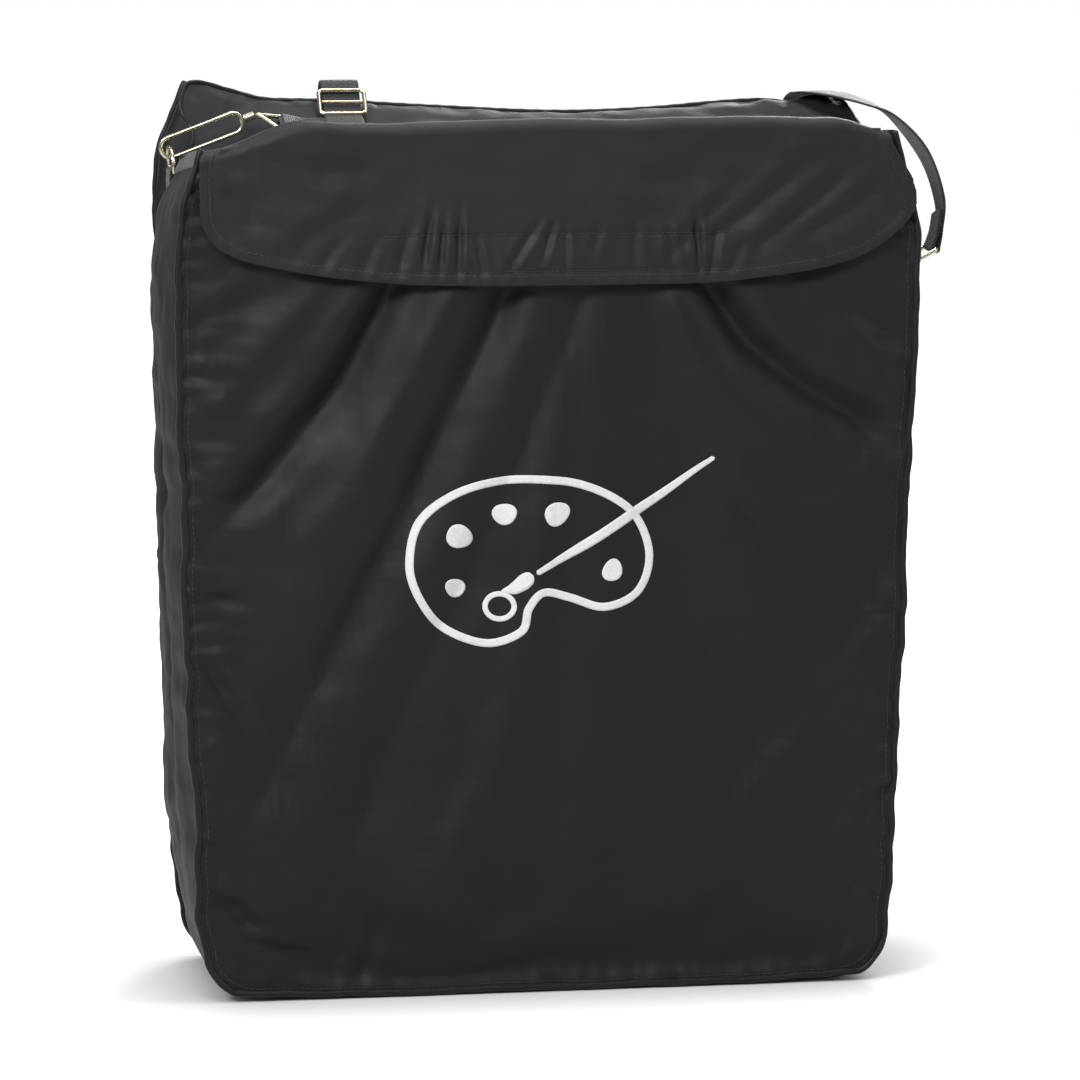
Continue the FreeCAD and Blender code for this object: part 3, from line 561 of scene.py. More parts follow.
def puckers(along, away, seed, size, height, reach):
    """Short gathers that start at a seam and die out across the cloth."""
    wave = ripple(along, away * 0.25, size, seed, octaves=2)
    patchy = 0.5 + 0.5 * ripple(along, 0 * away, 90, seed + 50, octaves=1)
    return (height * wave * np.clip(patchy + 0.35, 0.1, 1.2)
            * np.exp(-(away / reach) ** 1.4) * ease(away / 3.0))


drape_fields = {}  # seam plane y: (row heights, depth changes)


def drape_at(x, z, y):
    """Depth change found by the cloth simulation, at a point of a panel."""
    if y not in drape_fields:
        return 0.0
    heights, field = drape_fields[y]
    left, right = half_width(z, LEFT, y), half_width(z, RIGHT, y)
    u = np.clip((x + left) / (left + right), 0, 1) * (field.shape[1] - 1)
    v = np.interp(z, heights, np.arange(len(heights)))
    i = np.clip(u.astype(int), 0, field.shape[1] - 2)
    j = np.clip(v.astype(int), 0, field.shape[0] - 2)
    a, b = u - i, v - j
    a, b = a * a * (3 - 2 * a), b * b * (3 - 2 * b)
    return mix(mix(field[j, i], field[j, i + 1], a), mix(field[j + 1, i], field[j + 1, i + 1], a), b)


def front_y(x, z, detail=True):
    """Depth of the front panel's outer face."""
    gap = seam_gap(x, z, FRONT_Y)
    y = FRONT_Y - 1.0 - 6.5 * ease(gap / 95.0) * ease((575 - z) / 150.0)
    if not detail:
        return y
    creases = folds(x, z, FRONT_FOLDS, FRONT_FOLD_SCALE)
    swell = (1.7 * ripple(x, z, size=190, seed=11)
             + 0.75 * ripple(x * 0.8 + z * 0.5, z * 0.8 - x * 0.5, size=62, seed=12))
    y = (y - creases * ease(gap / 16.0) * (0.12 + 0.88 * ease((488 - z) / 44))
         - ease(gap / 30.0) * ease((575 - z) / 90) * swell * ease((z - 2) / 40))
    from_left = x + half_width(z, LEFT)
    from_right = half_width(z, RIGHT) - x
    return (y - puckers(z, from_left, seed=21, size=15, height=1.7, reach=24)
            - puckers(z + 900, from_right, seed=22, size=13, height=1.7, reach=22)
            - puckers(x, z, seed=23, size=21, height=1.2, reach=20) + drape_at(x, z, FRONT_Y))


def back_y(x, z):
    """Depth of the back panel's outer face."""
    gap = seam_gap(x, z, BACK_Y)
    creases = folds(x, z, BACK_FOLDS)
    swell = 2.0 * ripple(x, z, size=170, seed=31) + 0.8 * ripple(x, z, size=60, seed=32)
    y = (BACK_Y + 1.0 + 5.5 * ease(gap / 100.0) + np.minimum(creases, 2.2) * ease(gap / 16.0)
         + ease(gap / 30) * swell)
    from_left = x + half_width(z, LEFT, BACK_Y)
    from_right = half_width(z, RIGHT, BACK_Y) - x
    return (y + puckers(z, from_left, seed=33, size=15, height=1.1, reach=22)
            + puckers(z + 900, from_right, seed=34, size=14, height=1.1, reach=20)
            + puckers(x, z, seed=35, size=20, height=0.9, reach=20) + drape_at(x, z, BACK_Y))


def front_top(x):
    """Top edge of the front panel, lower at its left end."""
    return 557.5 - 9.0 * ease((-168 - np.asarray(x, float)) / 52.0)


def rim(y, side):
    """Height of a gusset's top edge."""
    return lookup(y, RIM_LEFT if side == LEFT else RIM_RIGHT)


def top_z(x, y):
    """Height of the cloth that closes the top."""
    z = mix(lookup(y, TOP_PROFILE), lookup(x, REAR_EDGE), ease((y - 44) / 29))
    crest = ease((-y - 40) / 30)
    z = z + crest * (1.6 * ripple(x, y, size=150, seed=41) + 0.8 * np.sin(x / 95.0))
    middle = ease((y + 62) / 20) * ease((26 - y) / 16)
    z = z + middle * (1.8 * ripple(x, y * 1.5, size=90, seed=42) - 3.0 * bell(x, 10, 150.0))
    # hollow under the left strap end
    z = z - 1.4 * bell(x, -133, 44.0, power=4) * bell(y, 35, 15.0, power=4)
    z = mix(z, rim(y, LEFT), ease((-160 - x) / 64))
    return mix(z, rim(y, RIGHT), ease((x - 180) / 42))


def side_x(z, y, side):
    """X of a gusset's outer face."""
    width = half_width(np.maximum(z, CORNER + 0.01), side, y)
    inside = np.clip(1 - (np.abs(y) / BACK_Y) ** 2.2, 0, 1)
    if side == LEFT:
        height, shift, size, seed = 9.5, 0, 120, 61
        top = 1 - 0.85 * ease((z - 500) / 36.0)
        wave = 2.0
        groove = (3.4 * bell(y, -12 - 9 * np.sin(z / 90.0), 9.0)
                  * ease((z - 60) / 120) * ease((470 - z) / 90))
    else:
        height, shift, size, seed = 4.5, 500, 115, 63
        top = 1 - 0.7 * ease((z - 490) / 40.0)
        wave = 1.8
        groove = (3.0 * bell(y, 6 - 8 * np.sin(z / 80.0), 9.0)
                  * ease((z - 60) / 120) * ease((420 - z) / 90))
    bulge = height * inside * ease((z - 14) / 120.0) * top
    waves = (wave * ripple(z + shift, y * 2.0, size, seed)
             + 0.45 * ripple(z * 1.2, y, size=40, seed=seed + 1))
    bulge = bulge + inside * waves * ease((z - 20) / 60) * ease((560 - z) / 60) - groove
    # flatter ground behind each ring tab
    if side == LEFT:
        lean = 238.0 - 16.0 * (z - 485.0) / 50.0 - 0.8
        share = ease((y - 6) / 13.0) * ease((63 - y) / 8.0) * ease((z - 452) / 34.0)
    else:
        lean = np.minimum(width + bulge, 237.2 - 0.06 * np.abs(z - 470))
        share = (ease((y + 34) / 14.0) * ease((20 - y) / 16.0)
                 * ease((z - 405) / 34.0) * ease((530 - z) / 24))
    return side * mix(width + bulge, lean, share)


def flap_low(x):
    """Height of the flap's lower edge."""
    return np.interp(x, *FLAP_EDGE) * 0.35 + lookup(x, FLAP_EDGE) * 0.65


def flap_x(u, z):
    """Column u of the flap at a height: its ends lean in towards the top."""
    right = FLAP_EDGE[0][-1] - 25.0 * ease((z - 512) / 62.0)
    left = FLAP_EDGE[0][0] + 11.0 * ease((z - 538) / 30.0)
    return left + (right - left) * u


def flap_y(x, z):
    """Depth of the outer face of the hanging part of the flap."""
    under = front_y(x, np.minimum(z, 556.0), detail=False)
    y = mix(np.minimum(under - 4.6, -78.6), -79.2, ease((z - 520) / 46))
    # the ends stand off a little
    y = y - 2.6 * ease((np.abs(x - 4) - 120) / 110) * ease((545 - z) / 60)
    relief = folds(x, z, FLAP_FOLDS)
    for gather_x, depth, width, lean, middle, reach in GATHERS:
        q = (x - (gather_x + lean * (z - GATHER_Z))) / width
        shape = -bell(q, 0, 1) + 0.55 * bell(q, 1.7, 1.1) + 0.30 * bell(q, -1.8, 1.2)
        relief = relief + 1.05 * depth * shape * bell(z, middle, reach, power=3)
    relief = (relief + 1.0 * ripple(x, z * 1.2, size=120, seed=51)
              + 0.5 * ripple(x + z * 0.6, z * 1.4, size=44, seed=52))
    return y - relief * ease((568 - z) / 22)


def outline(y, offset, step=2.2, tops=None):
    """U-shaped line (x, z) round the case at one depth, from the left top to the right top."""
    top_left, top_right = tops or (float(rim(y, LEFT)), float(rim(y, RIGHT)))
    left = float(half_width(CORNER + 0.01, LEFT, y)) - CORNER
    right = float(half_width(CORNER + 0.01, RIGHT, y)) - CORNER
    turn = np.linspace(0, math.pi / 2, 22)
    radius = CORNER + offset
    down = np.arange(top_left, CORNER, -step)
    base = np.arange(-left + step, right - step / 2, step)
    up = np.arange(CORNER + step, top_right + 0.01, step)
    x = np.r_[-(half_width(down, LEFT, y) + offset), -(left + radius * np.cos(turn)), base,
              right + radius * np.cos(turn[::-1]), half_width(up, RIGHT, y) + offset]
    z = np.r_[down, CORNER - radius * np.sin(turn), np.full(len(base), -offset),
              CORNER - radius * np.sin(turn[::-1]), up]
    return x, z


# ------------------------------------------------------------------ materials


class Shader:
    """Short way to wire a material round one principled shader."""

    def __init__(self, name):
        self.material = bpy.data.materials.new(name)
        self.material.use_nodes = True
        self.tree = self.material.node_tree
        self.tree.nodes.clear()
        output = self.tree.nodes.new("ShaderNodeOutputMaterial")
        self.principled = self.add("ShaderNodeBsdfPrincipled")
        self.fill(output, {"Surface": self.principled.outputs[0]})

    def add(self, kind, inputs=None, **settings):
        node = self.tree.nodes.new(kind)
        for key, value in settings.items():
            setattr(node, key, value)
        self.fill(node, inputs or {})
        return node

    def fill(self, node, inputs):
        """Link sockets and set plain values."""
        for key, value in inputs.items():
            if isinstance(value, bpy.types.NodeSocket):
                self.tree.links.new(value, node.inputs[key])
            else:
                node.inputs[key].default_value = value

    def surface(self, inputs):
        self.fill(self.principled, inputs)
        return self.material

    def coords(self):
        node = self.add("ShaderNodeTexCoord")
        return node.outputs["UV"], node.outputs["Object"]

    def math(self, operation, a, b, clamp=False):
        node = self.add("ShaderNodeMath", {0: a, 1: b}, operation=operation, use_clamp=clamp)
        return node.outputs[0]

    def scaled(self, value, gain, plus):
        """value * gain + plus."""
        return self.math("ADD", self.math("MULTIPLY", value, gain), plus)

    def weighted(self, a, gain_a, b, gain_b, clamp=False):
        a = self.math("MULTIPLY", a, gain_a)
        return self.math("ADD", a, self.math("MULTIPLY", b, gain_b), clamp)

    def wave(self, vector, direction, period, distort=0.0):
        """Bands with a period in metres."""
        bands = 10.0 if direction == "DIAGONAL" else 20.0
        node = self.add("ShaderNodeTexWave", {
            "Scale": 2 * math.pi / (bands * period), "Distortion": distort,
            "Detail": 1.0, "Detail Scale": 1.0, "Vector": vector,
        }, wave_type="BANDS", bands_direction=direction)
        return node.outputs["Fac"]

    def noise(self, vector, scale, detail=3.0, rough=0.5):
        node = self.add("ShaderNodeTexNoise", {
            "Scale": scale, "Detail": detail, "Roughness": rough, "Vector": vector})
        return node.outputs["Fac"]

    def ramp(self, factor, stops):
        node = self.add("ShaderNodeValToRGB", {0: factor})
        elements = node.color_ramp.elements
        while len(elements) < len(stops):
            elements.new(0.5)
        for element, (position, colour) in zip(elements, stops):
            element.position = position
            element.color = (*colour, 1)
        return node.outputs[0]

    def bump(self, height, strength, distance, normal=None):
        inputs = {"Strength": strength, "Distance": distance, "Height": height}
        if normal is not None:
            inputs["Normal"] = normal
        return self.add("ShaderNodeBump", inputs).outputs[0]


def cloth_material(name, dark, light, rough, sheen, weave=0.0011, tint=(1, 1, 1)):
    """Plain weave with a twill line over it; weave is the thread pitch in metres."""
    shader = Shader(name)
    uv, place_ = shader.coords()
    grid = shader.math("MULTIPLY", shader.wave(uv, "X", weave), shader.wave(uv, "Y", weave))
    twill = shader.wave(uv, "DIAGONAL", weave * 2.6, distort=0.4)
    height = shader.weighted(grid, 0.7, twill, 0.45)
    slub = shader.noise(place_, scale=420.0, detail=4.0, rough=0.6)
    height = shader.math("ADD", height, shader.math("MULTIPLY", slub, 0.6))
    soft = shader.bump(shader.noise(place_, scale=34.0, rough=0.55),
                       strength=0.22, distance=0.0016)
    normal = shader.bump(height, strength=0.35, distance=0.00012, normal=soft)
    # colour: broad mottling, with lighter thread crossings
    mottle = shader.noise(place_, scale=9.0, detail=4.0, rough=0.6)
    crossing = shader.math("SUBTRACT", shader.math("MULTIPLY", grid, 0.5), 0.25)
    shade = shader.weighted(mottle, 0.9, crossing, 0.35, clamp=True)
    return shader.surface({
        "Normal": normal,
        "Base Color": shader.ramp(shade, [(0.22, [dark * t for t in tint]),
                                          (0.85, [light * t for t in tint])]),
        "Roughness": shader.scaled(shader.noise(place_, scale=60.0), gain=0.14,
                                   plus=rough - 0.07),
        "Sheen Weight": sheen, "Sheen Roughness": 0.42, "Sheen Tint": (0.9, 0.92, 1.0, 1),
        "Specular IOR Level": 0.30})


def web_material(name, dark, light):
    """Ribs along the band crossed by slanted rows."""
    shader = Shader(name)
    uv, place_ = shader.coords()
    rib = shader.wave(uv, "X", period=0.0017)
    row = shader.wave(uv, "Y", period=0.0031, distort=0.3)
    slant = shader.wave(uv, "DIAGONAL", period=0.0048)
    height = shader.weighted(rib, 0.8, shader.math("MULTIPLY", row, slant), 0.9)
    fibre = shader.bump(shader.noise(place_, scale=700.0), strength=0.3, distance=0.0001)
    shade = shader.weighted(height, 0.45, shader.noise(place_, scale=40.0), 0.3, clamp=True)
    return shader.surface({
        "Normal": shader.bump(height, strength=0.75, distance=0.00035, normal=fibre),
        "Base Color": shader.ramp(shade, [(0.15, [dark] * 3),
                                          (0.85, [light, light, light * 1.03])]),
        "Roughness": 0.58, "Sheen Weight": 0.25})


def metal_material(name):
    shader = Shader(name)
    _, place_ = shader.coords()
    fine = shader.noise(place_, scale=260.0, detail=4.0, rough=0.6)
    broad = shader.noise(place_, scale=45.0)
    return shader.surface({
        "Base Color": shader.ramp(broad, [(0.25, (0.66, 0.58, 0.40)), (0.5, (0.84, 0.78, 0.62)),
                                          (0.8, (0.90, 0.86, 0.74))]),
        "Metallic": 1.0, "Roughness": shader.scaled(fine, gain=0.16, plus=0.16),
        "Normal": shader.bump(fine, strength=0.12, distance=0.00008)})


def fuzz_material(name, scale, rough, sheen):
    """Cells roughened by noise, for the two closure strips."""
    shader = Shader(name)
    _, place_ = shader.coords()
    cells = shader.add("ShaderNodeTexVoronoi", {"Scale": scale, "Vector": place_})
    fluff = shader.noise(place_, scale=900.0, detail=5.0, rough=0.7)
    height = shader.weighted(cells.outputs["Distance"], 1.0, fluff, 0.8)
    return shader.surface({
        "Normal": shader.bump(height, strength=0.9, distance=0.0006),
        "Base Color": shader.ramp(height, [(0.2, (0.006, 0.006, 0.007)),
                                           (0.9, (0.035, 0.035, 0.038))]),
        "Roughness": rough, "Sheen Weight": sheen})


def board_material(name):
    shader = Shader(name)
    _, place_ = shader.coords()
    grain = shader.noise(place_, scale=190.0, detail=6.0, rough=0.7)
    return shader.surface({
        "Normal": shader.bump(grain, strength=0.45, distance=0.0004),
        "Base Color": shader.ramp(grain, [(0.3, (0.018, 0.018, 0.019)),
                                          (0.7, (0.045, 0.044, 0.043))]),
        "Roughness": 0.72})


def print_material(name):
    shader = Shader(name)
    _, place_ = shader.coords()
    fine = shader.noise(place_, scale=520.0, detail=4.0, rough=0.6)
    broad = shader.math("MULTIPLY", shader.noise(place_, scale=60.0), 0.5)
    height = shader.math("ADD", fine, broad)
    return shader.surface({
        "Normal": shader.bump(height, strength=0.25, distance=0.0001),
        "Base Color": shader.ramp(height, [(0.4, (0.70, 0.70, 0.70)),
                                           (0.8, (0.86, 0.86, 0.85))]),
        "Roughness": 0.55})


COOL = (1.0, 1.0, 1.06)  # slightly blue tint
CLOTH = cloth_material("outer_cloth_nylon", dark=0.0100, light=0.0142,
                       rough=0.575, sheen=0.07, tint=COOL)
# The flap uses the outer nylon painted lighter: painted light, standing in for the light that falls
# on the flap.
LIT_FLAP_CLOTH = cloth_material("flap_cloth_nylon_painted_lighter", dark=0.0160, light=0.0220,
                            rough=0.58, sheen=0.09, tint=COOL)
LINING = cloth_material("lining_cloth_soft", dark=0.020, light=0.034,
                        rough=0.62, sheen=0.2, weave=0.0008)
CORD = cloth_material("corded_seam_cloth", dark=0.009, light=0.016,
                      rough=0.46, sheen=0.2, weave=0.0008)
BINDING = web_material("binding_tape_ribbed", dark=0.006, light=0.017)
WEBBING = web_material("webbing_ribbed", dark=0.007, light=0.022)
METAL = metal_material("plated_wire_pale")
LOOPS = fuzz_material("closure_loops", scale=620.0, rough=0.85, sheen=0.22)
HOOKS = fuzz_material("closure_hooks", scale=760.0, rough=0.5, sheen=0.05)
BOARD = board_material("stiff_board_grey")
PRINT = print_material("printed_mark_white")
THREAD = cloth_material("sewing_thread", dark=0.036, light=0.060,
                        rough=0.45, sheen=0.1, weave=0.0005)

# ------------------------------------------------------ front and back panels

PANEL_TOP = 1000.0   # stand-in height, rescaled to the real top edge of each column
DRAPE_TOP, DRAPE_WIDTH, DRAPE_STEP = 548.0, 478, 6.5  # extent and cell size of the simulation
DRAPE_FRAMES = 16
DRAPE_CAP = 4.5      # limit of the depth change
DRAPE_CLOTH = dict(
    quality=6, mass=0.08, tension_stiffness=12.0, compression_stiffness=12.0,
    shear_stiffness=4.0, bending_stiffness=0.12, tension_damping=6.0,
    compression_damping=6.0, shear_damping=6.0, air_damping=2.0, vertex_group_mass="pin")


def panel_rows(top, count):
    """Row heights: close together round the bottom corners, then even."""
    angle = np.linspace(0, math.pi / 2, 14)
    return np.r_[CORNER * (1 - np.cos(angle)), np.linspace(CORNER, top, count)[1:]]


def panel_grid(cols, rows, y, top_edge):
    u = np.linspace(0, 1, cols)
    row = panel_rows(PANEL_TOP, rows)[:, None]
    share = np.clip((row - CORNER) / (PANEL_TOP - CORNER), 0, 1)
    top = np.full(cols, 560.0)
    for _ in range(4):
        top = top_edge(panel_x(u, top, y))
    z = np.where(row <= CORNER, row, CORNER + share * (top[None] - CORNER))
    return panel_x(u, z, y), z


def drape(name, surface, seam_y, grow):
    """Simulate one panel pinned along its seams: cut slightly long, it sags and buckles
    under its weight. Only the depth of the result is kept, up to a limit."""
    heights = panel_rows(DRAPE_TOP, int((DRAPE_TOP - CORNER) / DRAPE_STEP))
    cols = int(DRAPE_WIDTH / DRAPE_STEP)
    z = np.repeat(heights[:, None], cols, 1)
    x = panel_x(np.linspace(0, 1, cols), z, seam_y)
    verts = join(x, surface(x, z), z).reshape(-1, 3)
    piece = make(name, verts, grid_quads(np.arange(x.size).reshape(x.shape)), CLOTH)
    edge = np.minimum(seam_gap(x, z, seam_y), DRAPE_TOP - z)
    pin = piece.vertex_groups.new(name="pin")
    pin.add(np.nonzero(edge.ravel() < 7.0)[0].tolist(), 1.0, "REPLACE")
    modifier = piece.modifiers.new("Cloth", "CLOTH")
    for key, value in DRAPE_CLOTH.items():
        setattr(modifier.settings, key, value)
    modifier.settings.shrink_min = -grow
    modifier.collision_settings.use_collision = False
    modifier.collision_settings.use_self_collision = False
    modifier.point_cache.frame_start = 1
    modifier.point_cache.frame_end = DRAPE_FRAMES
    scene = bpy.context.scene
    for k in range(1, DRAPE_FRAMES + 1):
        scene.frame_set(k)
    result = piece.evaluated_get(bpy.context.evaluated_depsgraph_get())
    moved = np.zeros(len(result.data.vertices) * 3)
    result.data.vertices.foreach_get("co", moved)
    depth = (moved.reshape(-1, 3) / MM - verts)[:, 1].reshape(x.shape)
    scene.frame_set(1)
    mesh = piece.data
    bpy.data.objects.remove(piece)
    bpy.data.meshes.remove(mesh)
    depth = DRAPE_CAP * np.tanh(np.nan_to_num(depth) / DRAPE_CAP)
    for _ in range(2):
        q = np.pad(depth, 1, mode="edge")
        depth = (q[:-2, 1:-1] + q[2:, 1:-1] + q[1:-1, :-2] + q[1:-1, 2:] + 2 * depth) / 6.0
    drape_fields[seam_y] = (heights, depth * ease(edge / 14.0))


drape("drape_front", front_y, FRONT_Y, grow=0.010)
drape("drape_back", back_y, BACK_Y, grow=0.008)

x, z = panel_grid(206, 228, FRONT_Y, front_top)
place(sheet("front_panel_cloth", warp(x, front_y(x, z), z), CLOTH_THICK, CLOTH, join(x, z),
            flip=True), "case", "outer_cloth", "front_panel")
x, z = panel_grid(150, 180, BACK_Y, lambda x: lookup(x, REAR_EDGE))
place(sheet("back_panel_cloth", warp(x, back_y(x, z), z), CLOTH_THICK, CLOTH, join(x, z)),
      "case", "outer_cloth", "back_panel")

# -------------------------------------------------------------------- gussets

GUSSET_Y = np.linspace(FRONT_Y, BACK_Y, 47)  # columns of both gussets


def gusset(name, side, node):
    """One side, its bottom corner and its share of the base, as a single strip."""
    y = GUSSET_Y
    down = np.linspace(0, 1, 190)[:, None]
    side_z = mix(rim(y, side), CORNER, down)
    turn = np.linspace(0, math.pi / 2, 14)[1:, None]
    width = half_width(CORNER + 0.01, side, y)
    corner_x = side * (width - CORNER + CORNER * np.cos(turn))
    corner_z = CORNER - CORNER * np.sin(turn) + 0 * y
    inward = np.linspace(0, 1, 70)[1:, None]
    base_x = mix(side * (width - CORNER), BASE_SEAM_X, inward)
    x = np.vstack([side_x(side_z, y, side), corner_x, base_x])
    z = np.vstack([side_z, corner_z, np.zeros_like(base_x)])
    # the base cloth lifts a little off the floor in shallow waves
    z = z + 0.55 * (1 + ripple(x, y, size=90, seed=65)) * (z < 0.5)
    grid = warp(x, y, z)
    run = arc_length(grid[:, len(y) // 2])
    place(sheet(name, grid, CLOTH_THICK, CLOTH, join(y, run[:, None]), flip=side == LEFT),
          "case", "outer_cloth", node)
    return grid


left_gusset = gusset("left_gusset_cloth", LEFT, "left_gusset")
right_gusset = gusset("right_gusset_cloth", RIGHT, "right_gusset")


def piping(end, y):
    """Cord along the outline seam of the front or back panel."""
    x, z = outline(y, offset=0.7)
    path = warp(x, y, np.maximum(z, 2.0))
    path[:, 1] += math.copysign(0.5, y)
    s = np.arange(len(path))
    radius = 2.05 + 0.12 * np.sin(s * 0.9) + 0.10 * ripple(s * 2.2, 0 * s, size=22, seed=71)
    cord = build(f"{end}_piping_cord", [tube_part(path, radius, sides=14)], CORD)
    place(cord, "case", "corded_seam", f"{end}_piping")


piping("front", FRONT_Y - 0.6)
piping("back", BACK_Y + 0.6)

# -------------------------------------------------------------------- the top


def top_x(y, cols, extra=0.0):
    """X of a top cloth: from rim to rim, drawn to the flap's crest towards the front."""
    u = uneven(cols, 0.28)
    pull = ease((-y - 5) / 50.0)
    left = mix(side_x(rim(y, LEFT), y, LEFT) - extra, CREST_LEFT, pull)
    right = mix(side_x(rim(y, RIGHT), y, RIGHT) + extra, CREST_RIGHT, pull)
    return mix(left, right, u)


def rear_top():
    """Rear strip, sewn to the back panel and the rear of the gussets."""
    y = np.linspace(21.0, 73.4, 54)[:, None]
    x = top_x(y, 190)
    gather = np.exp(-(np.maximum(73 - y, 0) / 12.0) ** 1.5)
    z = (top_z(x, y) + folds(x, y, REAR_TOP_FOLDS)
         + 1.1 * ripple(x, y * 0.3, size=26, seed=81) * gather * ease((73.4 - y) / 4.0)
         + 1.2 * ripple(x, y * 1.4, size=75, seed=82) * ease((y - 24) / 12)
         * ease((71 - y) / 8) * (1 - bell(x, -130, 62.0, power=4)))
    grid = warp(x, y, z)
    place(sheet("rear_top_cloth", grid, 1.1, CLOTH, join(x, y), flip=True),
          "case", "outer_cloth", "rear_top_panel")
    return grid


def lined(name, grid, thick, uv, rows, cols):
    """An outer flap cloth and its lining, which covers only some rows and columns."""
    outer = place(sheet(f"{name}_cloth", grid, thick, LIT_FLAP_CLOTH, uv),
                  None, "outer_cloth", f"{name}_panel")
    inner = (grid - grid_normals(grid) * LINING_DEPTH)[rows, cols]
    lining = place(sheet(f"{name}_lining_cloth", inner, LINING_THICK, LINING, uv[rows, cols]),
                   None, "lining_cloth", f"{name}_lining")
    return outer, lining


def flap_top():
    """The part of the flap that lies on top."""
    y = np.linspace(23.0, -61.0, 66)[:, None]
    x = top_x(y, 240, extra=1.2)
    z = (top_z(x, y) + 1.25 - 0.7 * ease((20 - y) / 60.0)
         + 0.9 * ripple(x, y * 1.5, size=46, seed=83) * ease((22 - y) / 14)
         * ease((y + 60) / 12) + folds(x, y, FLAP_TOP_FOLDS))
    return lined("flap_top", warp(x, y, z), 1.2, join(x, -y), slice(4, 62), slice(3, -3))


CREST_BACK, CREST_FRONT = -58.5, -70.5  # depth range of the flat part of the crest
CREST_DROP = 8.0                        # height of the bend in front of it


def flap_front():
    """The part of the flap that hangs down the front, with its rolled crest."""
    cols = 372
    u = uneven(cols, 0.34)
    crest_x = CREST_LEFT + (CREST_RIGHT - CREST_LEFT) * u
    y = np.linspace(CREST_BACK, CREST_FRONT, 9)[:, None]
    z = top_z(crest_x, y) + 0.4 + 0.35 * (1 - ease((CREST_BACK - y) / 3.0))
    crest = join(crest_x, y, z)

    crest_z = top_z(crest_x, CREST_FRONT) + 0.4
    start_z = crest_z - CREST_DROP
    start_x = flap_x(u, start_z)
    turn = np.linspace(0, math.pi / 2, 10)[1:, None]
    bend = join(crest_x + (start_x - crest_x) * np.sin(turn),
                CREST_FRONT + (flap_y(start_x, start_z) - CREST_FRONT) * np.sin(turn),
                crest_z - CREST_DROP * (1 - np.cos(turn)))

    low = np.full(cols, 470.0)
    for _ in range(5):
        low_x = flap_x(u, low)
        low = flap_low(low_x)
    z = start_z + (low - start_z) * np.linspace(0, 1, 76)[1:, None]
    x = flap_x(u, z)
    grid = np.concatenate([crest, bend, join(x, flap_y(x, z), z)])

    # turned hem: a slightly proud band with a stitched groove
    x, z = grid[..., 0], grid[..., 2]
    slope = np.gradient(low, low_x)
    above = (z - low) / np.sqrt(1 + slope**2)
    inset = np.minimum(np.minimum(above, (x - x[:, :1]) * 0.96), (x[:, -1:] - x) * 0.96)
    inset = np.maximum(inset, 0)
    hem = (0.55 * (1 - ease((inset - 6.2) / 1.6)) - 0.42 * bell(inset, 5.6, 0.9)
           + 0.22 * ripple(x, z, size=11, seed=84) * (1 - ease((inset - 7) / 3.0)))
    grid[..., 1] -= hem * ease((568 - z) / 10.0)
    # grooves where the band of hooks is sewn on behind
    for seam_z in HOOK_SEAMS:
        grid[..., 1] += 0.45 * bell(z, seam_z, 1.1) * ease((x + 114) / 5) * ease((122 - x) / 5)
    uv = join(x, arc_length(grid[:, cols // 2])[:, None])
    return lined("flap_front", grid, FLAP_THICK, uv, slice(6, -3), slice(4, -4))


def closure_strips():
    """Loops on the front panel and hooks behind the flap."""
    x, z = np.meshgrid(np.linspace(-116, 124, 130), np.linspace(468.8, 495.2, 18))
    y = front_y(x, z) - 1.1 + warp(x, 0 * x, z)[..., 1]
    place(sheet("front_closure_loops", join(x, y, z), 0.9, LOOPS, join(x, z), flip=True),
          "case", "hook_and_loop", "loop_strip")
    thick = 0.85
    x, z = np.meshgrid(np.linspace(-113.5, 121.5, 130), np.linspace(469.8, 494.4, 16))
    y = flap_y(x, z) + FLAP_THICK + 0.25 + thick + 0.7
    place(sheet("flap_closure_hooks", join(x, y, z), thick, HOOKS, join(x, z)),
          "flap_front", "hook_and_loop", "flap_hook_strip")


def flap_stitching():
    """Topstitching inside the hem, and the two seams of the hook strip."""
    z = np.arange(552.0, 513.0, -1.6)
    left = join(flap_x(0.0, z), z)
    x = np.r_[np.linspace(-226.4, -214, 26), np.linspace(-213, 215, 220),
              np.linspace(216, 236.6, 30)]
    bottom = join(x, flap_low(x))
    z = np.arange(519.0, 552.0, 1.6)
    right = join(flap_x(1.0, z), z)
    edge = running_mean(resample(np.vstack([left, bottom, right]), 1.0), 9)
    tangent = unit(np.gradient(edge, axis=0))
    line = edge + join(-tangent[:, 1], tangent[:, 0]) * 5.6
    # leave out points that bunch up or turn back inside the corners
    line = line[np.r_[True, (np.diff(line, axis=0) * tangent[1:]).sum(1) > 0.15]]
    x, z = line.T
    parts = stitches(join(x, flap_y(x, z), z), (0, -1, 0),
                     length=3.0, gap=1.2, radius=0.36, lift=0.16)
    x = np.linspace(-111, 119, 400)
    for seam_z in HOOK_SEAMS:
        parts += stitches(join(x, flap_y(x, seam_z) + 0.15, seam_z), (0, -1, 0),
                          length=2.7, gap=1.1, radius=0.32, lift=0.10)
    place(build("flap_stitching", parts, THREAD, fix=False), "flap_front", "outer_cloth")


rear_top_grid = rear_top()
flap_top_pieces = flap_top()
flap_outer, flap_lining = flap_front()
closure_strips()
flap_stitching()

# bake the world placement of the flap pieces and their linings into their meshes; the bend over the
# crest is built into flap_front's grid
for piece in flap_top_pieces:
    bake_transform(piece)
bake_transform(flap_outer)
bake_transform(flap_lining)

# --------------------------------------------------------- bindings and tapes


